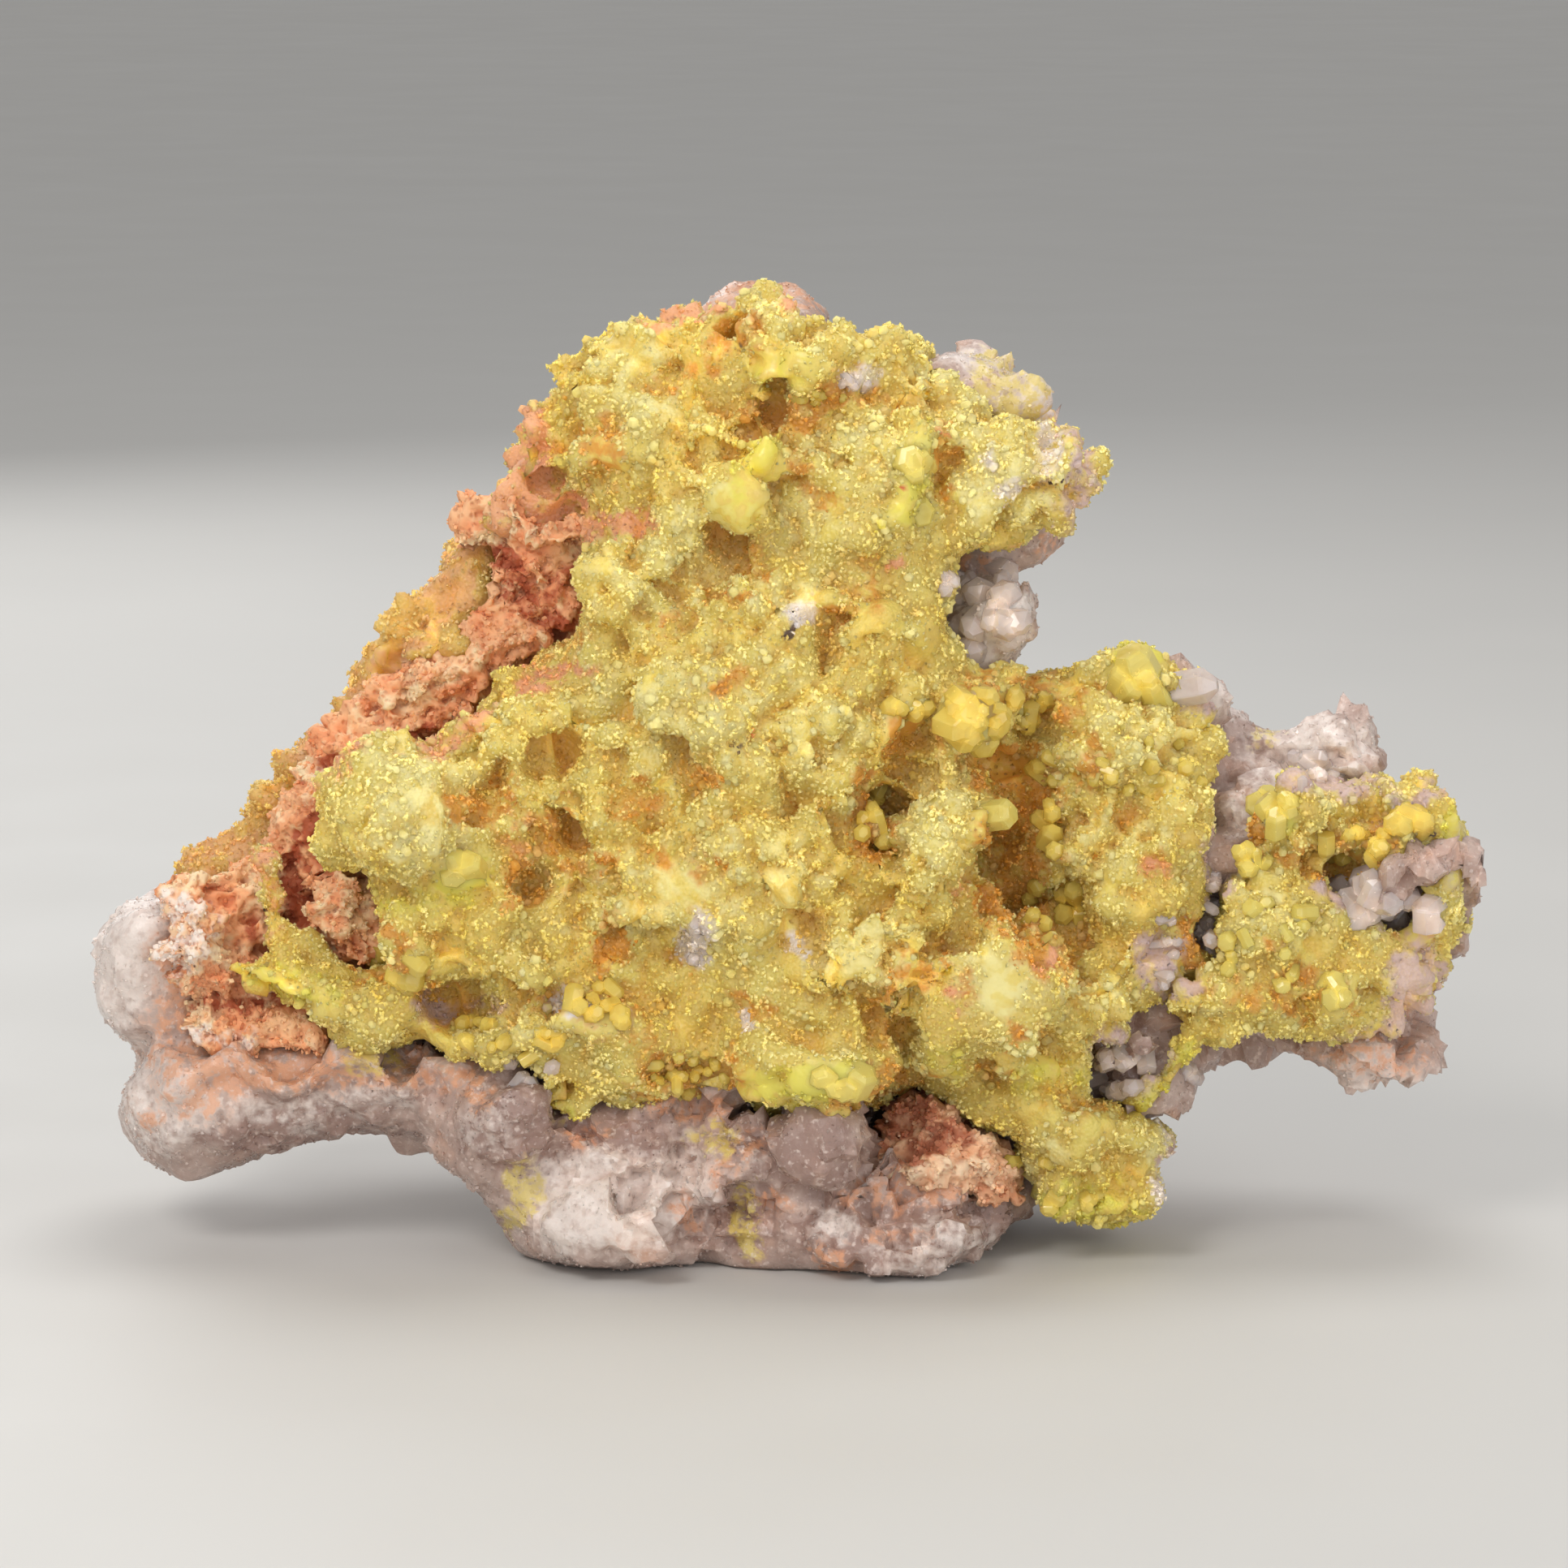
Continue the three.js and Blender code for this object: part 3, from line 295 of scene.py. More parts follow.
LEMON = patches(
    (2.2, 11.8, 3, 1.4, 1.1), (-1.7, 11.3, 1.9, 1, 0.9), (7.7, 46.9, 1.3, 3.3, 0.6), (-1, 47.8, 1.7, 1.3, 0.9),
    (-3.1, 45.2, 2.1, 1.9, 0.55), (20.5, 36.6, 2, 1.3, 0.9), (-18.5, 23.1, 2, 1.1, 0.9),
    (-21.9, 21.9, 2.4, 0.8, 0.55), (6.9, 44.6, 1.5, 1.4, 0.6), (17.7, 4.5, 3.4, 1.3, 0.5),
    (15.3, 11.7, 2.8, 1.3, 0.5), (-13, 8.4, 0.9, 2.6, 0.8, 10), (28.5, 27, 1.5, 1.1, 0.5),
    (38.8, 25.2, 0.8, 2.8, 0.8), (22.3, 12, 1.4, 3.3, 0.7, -40), (15.2, 4.6, 2.4, 0.9, 0.5),
    (9.1, 12.6, 1.7, 1.4, 0.4), (-29, 17.5, 3.8, 1, 0.5, -18), (-0.3, 52.5, 2.8, 1.9, 0.35),
)
SALMON = patches(
    (-5.4, 56.4, 2.9, 0.7, 1, 20), (0.9, 56.7, 1.2, 0.9, 0.8, -30), (-16, 47.8, 1.2, 3.8, 0.8, -20),
    (-13, 44.1, 2.8, 1.7, 0.9), (-9.1, 44.1, 1.6, 1, 0.8), (-13.3, 35, 3.3, 0.7, 0.7, 10),
    (-19.1, 31.9, 2.8, 0.6, 0.7, 25), (15.2, 18.9, 0.8, 0.6, 1), (6.3, 41.1, 0.8, 0.6, 0.7), (10.2, 22.9, 1, 1, 0.3),
    (21, 24.3, 1, 0.6, 0.5), (-14.6, 50.1, 1, 1.4, 0.7), (10, 16.7, 0.8, 0.8, 0.5), (-12.5, 46, 1.4, 0.9, 0.4),
    (12.9, 41.7, 2.8, 0.6, 0.4), (-15.3, 26.7, 0.9, 2.8, 0.2), (-15.3, 47.8, 1.7, 4.2, 0.7, -15),
    (-14.6, 43.6, 2.8, 1.9, 1), (-9.7, 44.1, 1.9, 0.7, 0.7), (-23.3, 34.7, 2.4, 2.4, 0.55),
    (-19.1, 40.3, 1.9, 2.4, 0.8), (-26.6, 30.9, 2.4, 1.9, 0.7), (-21, 37, 2.8, 1.1, 0.5, 40),
    (-30.8, 25.3, 2.8, 1.4, 0.7), (-34.1, 24.3, 1.9, 1.1, 0.5), (-29.4, 22.5, 0.5, 2.8, 0.3),
    (15.2, 38.4, 1.9, 1.4, 0.6), (-16, 47.8, 2.2, 4.2, 1, -15), (-15.3, 44.1, 2.8, 1.9, 1),
    (-19.1, 31.6, 2.8, 0.7, 0.6, 35),
)
CHALK = patches(
    (-5, 19.6, 0.8, 1.6, 1.2, 10), (1.2, 19.6, 0.5, 0.6, 1.2), (-1.9, 15, 0.4, 0.5, 1.2), (-12.1, 15.9, 0.9, 0.4, 1),
    (-9.8, 15.7, 0.6, 0.5, 1), (4.8, 52.5, 1.2, 0.7, 0.8), (13.3, 52.5, 2.4, 0.9, 0.7), (15.7, 49.7, 0.9, 2.8, 0.5),
    (0.9, 38.6, 0.8, 0.7, 1), (13.1, 46.4, 1, 0.6, 0.8), (11.9, 47.8, 0.8, 0.8, 0.5), (15, 41.7, 1.9, 0.8, 0.6, 15),
    (22.1, 6, 0.5, 3.8, 0.8), (13.3, 52.1, 1.9, 1.1, 0.8), (15.2, 47.8, 0.8, 1.9, 0.6),
)
SPECK = patches(
    (7.1, 41, 0.2, 0.3, 0.9, 20), (7, 45.5, 0.2, 0.2, 0.9), (9.6, 48.9, 0.2, 0.2, 0.8), (0.2, 32.7, 0.1, 0.1, 0.9),
    (2.4, 44.6, 0.2, 0.2, 0.6), (-0.2, 27, 0.4, 0.1, 0.8), (-1.4, 31.6, 0.1, 0.1, 0.8), (-3.3, 26.8, 0.1, 0.1, 0.7),
    (-5.6, 24.3, 0.2, 0.1, 0.7), (-9.7, 47.8, 0.1, 0.1, 0.5), (10.1, 16.9, 0.2, 0.2, 0.6), (-3.8, 38, 0.2, 0.2, 0.5),
    (-13, 32.8, 0.1, 0.1, 0.4), (12.5, 24.8, 0.2, 0.1, 0.5),
)
SOOT = patches(
    (0.6, 38, 0.3, 0.3, 1), (1.1, 38.4, 0.2, 0.2, 0.9), (11.2, 49.9, 0.3, 0.2, 0.9), (11.5, 50.4, 0.1, 0.1, 0.8),
    (16.1, 46.6, 0.1, 0.2, 0.9), (6.2, 47.6, 0.3, 0.1, 0.6), (-2.4, 54.3, 0.1, 0.1, 0.8), (35.9, 14, 0.2, 0.4, 0.7),
    (37.6, 25.8, 0.2, 0.1, 0.9), (-13.3, 46.1, 0.2, 0.1, 0.8), (-3, 31.1, 0.1, 0.2, 0.8), (13, 50, 0.1, 0.1, 0.7),
)
WAXY = patches(
    (-2.9, 45.2, 1.9, 1.9, 1.2), (-1, 47.8, 1.2, 1.3, 1.2), (-10.2, 48.4, 1.2, 1.1, 1.2), (6.8, 44.6, 1.1, 1.2, 1),
    (10.9, 32.7, 1.9, 1.9, 1), (12.3, 26.9, 1, 1.3, 1.2), (-1.7, 11.3, 1.7, 0.9, 1), (2.3, 11.7, 2.7, 1.2, 1.2),
    (-18.7, 23.5, 1.9, 1.3, 1.1), (-26.6, 15.7, 0.8, 0.6, 1.1), (12.6, 17.2, 1.5, 1.7, 0.9),
    (20.5, 35.5, 1.6, 1.5, 0.8), (0.4, 53.1, 2.2, 1, 0.7), (7.7, 47.8, 0.8, 2.4, 0.8), (-10.6, 15.4, 2.4, 1.4, 0.8),
    (3.5, 9.4, 1.6, 0.9, 1), (34, 24.8, 1.9, 1.4, 0.7), (39, 24.8, 0.8, 2.4, 1.1), (37.1, 20.6, 1.2, 1.1, 0.9),
    (28.6, 27.2, 1.1, 0.9, 0.8), (32.1, 16.5, 1.2, 1.1, 1), (12.9, 29.8, 1.4, 0.9, 0.7), (6.8, 32.8, 0.9, 1.4, 0.8),
    (-12.5, 8.4, 0.7, 1.9, 1), (-29.4, 17.1, 2.8, 0.5, 0.9, -18), (-23.3, 35.6, 1.4, 1.1, 0.7),
    (-26.8, 32.8, 0.9, 0.8, 0.6), (8.2, 37.5, 0.9, 0.9, 0.6), (4.7, 18.7, 0.8, 0.8, 0.5), (17.8, 30, 0.8, 0.9, 0.7),
    (15.7, 12.1, 1.1, 0.6, 0.7), (-17.2, 13.8, 1.9, 0.6, 0.6),
)
CRUST_STONE = patches(
    (29.8, 29.3, 4.2, 0.9, 0.9, 8), (36.8, 27.9, 2.8, 0.9, 0.6, 30), (17.3, 47.4, 0.8, 5.2, 0.8),
    (34, 21.5, 2.9, 1.2, 1.2, -20), (31.7, 22.9, 1.1, 0.7, 0.8), (37.3, 17.3, 1.3, 2.4, 0.9),
    (34.5, 13.5, 2.6, 2.1, 0.7), (38.7, 24.3, 0.9, 2.8, 0.3), (21.8, 18.7, 1.6, 2.1, 0.9, 20),
    (23, 17.1, 1.2, 0.9, 0.8), (20.2, 12.6, 2.2, 2.1, 0.9), (29.8, 29, 2.8, 0.7, 0.7, 10),
    (33.6, 28.3, 1.9, 0.7, 0.5), (25.1, 24.3, 0.8, 2.8, 0.8), (26.5, 30.5, 0.7, 2.4, 0.8),
    (24.6, 33.7, 1.4, 1.1, 0.8), (22.3, 6, 0.6, 3.3, 0.6), (16.2, 44.1, 0.9, 1.9, 0.5), (-20, 15.7, 1.4, 0.7, 0.7),
    (-17.2, 15.9, 1.2, 0.6, 0.4), (32.1, 29.8, 2.2, 1.7, 1.2), (36.6, 16.1, 1.9, 3.3, 1), (34.5, 12.6, 2.8, 1.1, 0.8),
)
CALCITE_WHITE = patches(
    (-37.9, 19.9, 2.4, 3.1, 1.2), (-39.8, 16.6, 1.1, 1.9, 0.8), (-36, 11, 2.8, 2.8, 0.55),
    (-10.5, 4.4, 5.2, 2.7, 0.75), (-6.3, 5.5, 2.2, 2, 1), (12.7, 38, 2, 2.4, 1.1), (11.7, 39.6, 1.4, 1.1, 0.7),
    (8.6, 2, 3.9, 1.7, 0.5), (3.2, 3.2, 1.4, 1.2, 0.8), (31.7, 31.4, 2.8, 1.6, 0.5), (34, 12.8, 2.2, 1.4, 0.6),
    (15.2, 52.1, 1.4, 1.9, 0.7), (-1.7, 6.5, 1.4, 0.5, 0.5, 30), (-17.2, 9.1, 1.9, 1.9, 0.3),
    (25.1, 34.2, 1.9, 1.4, 0.5), (16.2, 47.8, 1.9, 5.2, 0.7), (11.5, 38.4, 2.8, 2.8, 0.4),
    (25.1, 34.2, 1.9, 1.9, 0.5), (29.8, 30.5, 3.8, 2.4, 0.5), (34.5, 12.1, 3.8, 1.4, 0.7),
    (30.7, 30.9, 4.2, 2.4, 0.6), (-4, 57, 1.9, 0.9, 0.9), (-9.7, 3.7, 5.2, 2.8, 0.7), (-38.4, 19.4, 2.8, 3.8, 1.3),
    (-39.9, 16.6, 1.4, 2.4, 1.2), (-38.4, 13.5, 2.8, 1.9, 0.6), (-36, 9.5, 3.3, 2.4, 0.6), (-29.9, 10, 5.2, 1.2, 0.5),
    (-23.3, 10.6, 3.3, 0.8, 0.4), (12.2, 53.6, 2.8, 1.2, 1.3), (15.2, 54.2, 1.9, 1.4, 1.2),
    (17.1, 47.8, 1.1, 2.4, 0.8), (16.5, 52.1, 1.2, 1.9, 0.8), (-10.6, 5.1, 3.8, 2.8, 0.8), (-5.5, 6.5, 1.9, 2.8, 0.5),
    (15.5, 52.1, 2.8, 1.9, 1.4), (16.9, 48.8, 1.4, 3.3, 1.3), (27.9, 27.2, 2.8, 1.9, 0.6),
)
# Mauve-brown of the stone, with painted shade on the undersides of the bar and the foot.
CALCITE_MAUVE_AND_PAINTED_SHADE = patches(
    (-15.3, 10.7, 2.8, 2.6, 1), (-9.1, 8.4, 3.9, 2.1, 0.9), (1.6, 7.8, 2.3, 1.8, 1.3), (9.7, 40.2, 2.8, 1.9, 0.9),
    (7.3, 35.5, 2, 2.5, 1), (-25.7, 11, 6.6, 1.9, 0.5), (34, 21.3, 2.8, 1.7, 0.8), (27.9, 30.5, 1.9, 1.2, 0.6),
    (19.7, 12.5, 2.4, 2.4, 1), (22.5, 18.2, 1.9, 2.4, 0.8), (13.6, 3.7, 2.8, 0.9, 1), (-2.9, 4.1, 2.4, 1.4, 0.4),
    (-0.3, 8.4, 1.4, 0.9, 0.9), (7.2, 2.7, 7, 2.1, 1), (-29.9, 8.6, 8.9, 1.2, 0.8), (-15.3, 8.4, 3.8, 2.8, 0.8),
    (1.1, 7.4, 3.3, 2.8, 0.6), (-3.1, 3.7, 2.8, 2.4, 0.6), (-0.3, 8.4, 4.2, 1.9, 0.8), (3.9, 6, 3.3, 1.9, 0.6),
)
CALCITE_IRON = patches(
    (5.5, 4.5, 1.4, 0.9, 1.1, -20), (9.7, 5.1, 2.6, 0.8, 1, 10), (2.6, 1.4, 1.4, 0.7, 0.9),
    (-2.9, 7, 2.2, 1.2, 0.5, 30), (-5.6, 4.1, 0.7, 1, 0.9, 20), (-11.5, 8.7, 1.2, 1, 0.8),
    (-18.2, 11.1, 1.4, 0.9, 0.9), (-36.8, 9.3, 0.8, 0.6, 1.1), (-0.2, 4.6, 0.9, 0.7, 0.7),
    (-5.5, 10.2, 2.8, 0.7, 0.8), (-22.8, 13.5, 3.8, 0.8, 0.6), (7.2, 6, 2.4, 0.8, 0.5), (34.5, 15.4, 1.9, 0.9, 0.4),
    (11.2, 41.7, 2.8, 0.5, 0.5), (34.5, 28.1, 1.9, 0.8, 0.5), (-5, 56.3, 1.9, 0.8, 0.9),
    (6.3, 2.5, 3.3, 0.2, 0.6, -6), (-34.1, 18.7, 2.4, 3.3, 0.7), (-31.3, 13.1, 5.6, 1.4, 0.8),
    (-23.3, 12.1, 4.2, 1, 0.6), (-33.7, 15.4, 3.3, 1.9, 0.6), (15.7, 44.1, 1.9, 2.8, 0.4), (-1.7, 57.6, 3.3, 1.7, 1),
    (1.6, 58, 2.8, 1.9, 0.6), (-29.9, 11.8, 6.1, 1, 1), (-33.7, 11, 2.8, 1.9, 0.7), (34, 13.1, 3.8, 1.7, 0.7),
    (29.8, 25.3, 2.4, 1.4, 0.5), (14.8, 49.7, 1.9, 2.8, 0.5),
)
CALCITE_GREEN = patches(
    (-1.9, 3.3, 0.8, 2.1, 1), (-15.3, 4.5, 0.8, 2.1, 1, -20), (-4, 8.3, 1.5, 1, 0.6), (-24, 13.2, 1.9, 1, 0.9),
    (27.9, 31.6, 1.4, 0.5, 0.7, 20), (-12.5, 11, 0.6, 1.4, 0.7), (13.1, 49.7, 1.9, 2.8, 1.2),
    (13.9, 52.9, 2.8, 1.7, 1.4), (12.9, 51.1, 2.8, 2.4, 1.4),
)
# Red-brown in the rock's pits and at the top of the pocket: partly its own rust, partly painted shade.
BAND_RUST_AND_PAINTED_SHADE = patches(
    (-13.9, 46, 0.8, 1.4, 1.3), (-16.2, 41.7, 1.4, 0.8, 1.2, -20), (-13.2, 38.4, 0.8, 0.8, 1.1),
    (-14.6, 39.4, 1.9, 1.4, 0.6), (-26.8, 25.8, 1.2, 1.6, 1.3), (-28.2, 20.6, 0.8, 1.7, 1.2),
    (-28.5, 23.4, 0.6, 3.3, 0.9), (-26.1, 26.7, 1.1, 0.8, 1.1), (-21, 31.6, 1.6, 0.5, 0.9, 25),
    (-25.2, 30.2, 2.1, 0.5, 1, 25), (-31.3, 15.9, 3.6, 0.6, 0.7), (-30.8, 20.8, 0.6, 1, 0.8),
    (6.8, 9.7, 2.4, 1, 1.2, 20), (9.1, 8.4, 2.8, 0.9, 1, 25), (-12.5, 41.3, 1.9, 0.9, 0.5),
)
BAND_CREAM = patches(
    (-16.6, 43.4, 1.8, 0.8, 1), (-9.3, 44.1, 1.2, 0.7, 0.8), (-11.5, 42.6, 1.6, 0.8, 0.5, 30),
    (-25.4, 21.5, 2.4, 1.2, 0.5), (-33.7, 18.7, 2.4, 1.4, 0.7), (-29.9, 22.5, 0.8, 2.8, 0.9),
    (7.7, 6.5, 2.8, 0.9, 0.8), (-21.9, 33.7, 2.1, 0.9, 0.8, 25), (-19.1, 35.2, 2.4, 0.8, 0.6, 25),
    (-35.3, 15.4, 3.3, 1.4, 0.8), (5.4, 6, 1.4, 0.7, 0.7), (10.5, 7, 1.9, 0.7, 0.6), (-33.2, 23.6, 2.8, 0.8, 0.7),
    (-27.3, 29.5, 1.4, 0.9, 0.6),
)
BAND_WHITE = patches(
    (-35.5, 20.1, 2.8, 2.8, 0.7), (-34.1, 14.5, 4.2, 0.9, 0.5), (-38.8, 17.8, 1.9, 2.4, 1),
    (-14.4, 35.2, 2.4, 0.5, 0.7), (-26.4, 29.8, 0.9, 0.7, 0.5),
)


CRUST_STAINS_AND_PAINTED_LIGHT = {Tint.AMBER_AND_PAINTED_SHADE: AMBER_AND_PAINTED_SHADE, Tint.PALE_AND_PAINTED_LIGHT: PALE_AND_PAINTED_LIGHT, Tint.LEMON: LEMON, Tint.SALMON: SALMON, Tint.CHALK: CHALK,
                Tint.SPECK: SPECK, Tint.SOOT: SOOT, Tint.MAUVE: CRUST_STONE, Tint.WAXY: WAXY}
ROCK_STAINS_AND_PAINTED_SHADE = {Tint.RUST_AND_PAINTED_SHADE: BAND_RUST_AND_PAINTED_SHADE, Tint.CREAM: BAND_CREAM, Tint.WHITE: BAND_WHITE}
STONE_STAINS_AND_PAINTED_SHADE = {Tint.WHITE: CALCITE_WHITE, Tint.MAUVE: CALCITE_MAUVE_AND_PAINTED_SHADE, Tint.IRON: CALCITE_IRON,
                Tint.GREEN: CALCITE_GREEN}


@dataclass(frozen=True)
class FrontView:
    """The side that the specimen is shown from, and the sheet that its places are measured on."""

    tilt: float = math.radians(10)
    distance: float = 353.0
    aim: float = 26.6
    middle: float = 28.8
    lens: float = 140.0

    def along(self) -> np.ndarray:
        """Gives the direction that the viewer looks in."""
        return np.array([0.0, math.cos(self.tilt), -math.sin(self.tilt)])

    def upward(self) -> np.ndarray:
        """Gives the direction that is up for the viewer."""
        return np.array([0.0, math.sin(self.tilt), math.cos(self.tilt)])

    def sheet(self, points: np.ndarray) -> tuple[np.ndarray, np.ndarray]:
        """Finds where points appear on the front.

        Args:
            points: Places in space, in millimetres.

        Returns:
            How far across and how far up each point appears.
        """
        from_aim = points - np.array([0.0, 0.0, self.aim])
        shrink = self.distance / (self.distance + from_aim @ self.along())
        return from_aim[:, 0] * shrink, self.middle + (from_aim @ self.upward()) * shrink

    def sight(self, across: float, up: float) -> tuple[np.ndarray, np.ndarray]:
        """Gives the line of sight through a place on the front.

        Args:
            across: The place across the front.
            up: The place up the front.

        Returns:
            The viewer's eye, and the direction of the line.
        """
        aim = np.array([0.0, 0.0, self.aim])
        eye = aim - self.along() * self.distance
        target = aim + np.array([1.0, 0.0, 0.0]) * across + self.upward() * (up - self.middle)
        line = target - eye
        return eye, line / np.linalg.norm(line)


VIEW = FrontView()


def fade(values: np.ndarray, start: float, end: float) -> np.ndarray:
    """Rises smoothly from 0 at start to 1 at end."""
    share = np.clip((values - start) / (end - start), 0.0, 1.0)
    return share * share * (3.0 - 2.0 * share)


def scatter(cells: np.ndarray, seed: int, count: int = 1) -> np.ndarray:
    """Gives each cell of a grid its own fixed numbers between 0 and 1.

    Args:
        cells: Whole numbers of the cells, three each.
        seed: Which set of numbers.
        count: How many numbers for each cell.

    Returns:
        The numbers, one row for each cell.
    """
    whole = cells.astype(np.int64).astype(np.uint32)
    mixed = whole[:, 0] * np.uint32(73856093) ^ whole[:, 1] * np.uint32(19349663)
    mixed ^= whole[:, 2] * np.uint32(83492791) ^ np.uint32((seed * 2654435761) % 2**32)
    numbers = np.empty((len(cells), count), np.float32)
    for column in range(count):
        mixed = (mixed ^ (mixed >> np.uint32(16))) * np.uint32(0x7FEB352D)
        mixed = (mixed ^ (mixed >> np.uint32(15))) * np.uint32(0x846CA68B)
        mixed ^= mixed >> np.uint32(16)
        numbers[:, column] = mixed / np.float32(2**32)
    return numbers


@dataclass(frozen=True)
class Cloud:
    """Soft noise in space, made of swellings of several sizes."""

    size: float
    seed: int
    layers: int = 3

    def at(self, points: np.ndarray) -> np.ndarray:
        """Gives the noise at points, between about -1 and 1."""
        total = np.zeros(len(points), np.float32)
        for layer in range(self.layers):
            scaled = points @ TURNED * (2.0**layer / self.size)
            base = np.floor(scaled)
            share = scaled - base
            share = share * share * (3.0 - 2.0 * share)
            for corner in product((0, 1), repeat=3):
                near = np.where(np.array(corner) == 1, share, 1.0 - share)
                value = scatter(base + corner, self.seed + layer)[:, 0]
                total += near.prod(axis=1) * (value * 2.0 - 1.0) * 0.5**layer
        return total * 1.2


class Habit(Enum):
    """How a knot stands out of the surface."""

    ROUND = "round"
    BLOCKY = "blocky"


@dataclass(frozen=True)
class Knots:
    """Knots packed side by side, each about a middle of its own: round, or blocky with tilted flats."""

    spacing: float
    height: float
    habit: Habit
    seed: int

    # A knot's middle stays this far from the walls of its cell, and lies anywhere in what is left.
    MARGIN = 0.08
    SPAN = 0.84
    # The width of a dome in cells, and how steeply a flat leans.
    DOME = 0.62
    LEAN = 1.1

    def relief(self, points: np.ndarray) -> np.ndarray:
        """Gives how far each point stands out or lies back.

        Args:
            points: Places in space, in millimetres.

        Returns:
            The relief in millimetres, about zero on the whole.
        """
        scaled = (points @ TURNED / self.spacing).astype(np.float32)
        base = np.floor(scaled)
        nearest = np.full(len(points), 9.0, np.float32)
        chosen = np.zeros_like(scaled)
        cell = np.zeros_like(scaled)
        for shift in product((-1, 0, 1), repeat=3):
            candidate = base + np.array(shift, np.float32)
            offset = scaled - candidate - self.MARGIN - self.SPAN * scatter(candidate, self.seed, 3)
            if self.habit is Habit.BLOCKY:
                leaned = np.abs(offset + 0.4 * offset[:, [2, 0, 1]])
                distance = leaned.max(axis=1)
            else:
                distance = np.sqrt((offset * offset).sum(axis=1))
            closer = distance < nearest
            nearest[closer] = distance[closer]
            chosen[closer] = offset[closer]
            cell[closer] = candidate[closer]
        own = scatter(cell, self.seed + 7, 4)
        if self.habit is Habit.ROUND:
            dome = 0.5 - np.minimum(nearest / self.DOME, 1.2) ** 2
            return self.height * (dome + 0.5 * (own[:, 0] - 0.5))
        flat = ((own[:, 1:] * 2.0 - 1.0) * chosen).sum(axis=1)
        return self.height * (own[:, 0] - 0.5 + self.LEAN * flat)


KNOBBLY = (Knots(4.0, 0.8, Habit.ROUND, 11), Knots(1.8, 0.62, Habit.ROUND, 12), Knots(0.95, 0.26, Habit.ROUND, 15))
SMALL_KNOTS = (Knots(2.4, 0.8, Habit.ROUND, 13), Knots(1.1, 0.45, Habit.ROUND, 14))


def numbers_of(items: bpy.types.bpy_prop_collection, key: str, each: int = 3,
               kind: type = np.float32) -> np.ndarray:
    """Reads a value of every item of a mesh.

    Args:
        items: The items, such as the mesh's points.
        key: The name of the value.
        each: How many numbers the value has.
        kind: The kind of number.

    Returns:
        The numbers, one row for each item.
    """
    values = np.empty(len(items) * each, kind)
    items.foreach_get(key, values)
    return values.reshape(-1, each)


def note_tint(mesh: bpy.types.Mesh, tint: Tint, values: np.ndarray) -> None:
    """Keeps one number for each point of a mesh under the tint's name."""
    layer = mesh.attributes.new(tint.value, "FLOAT", "POINT")
    layer.data.foreach_set("value", np.ascontiguousarray(values, np.float32))


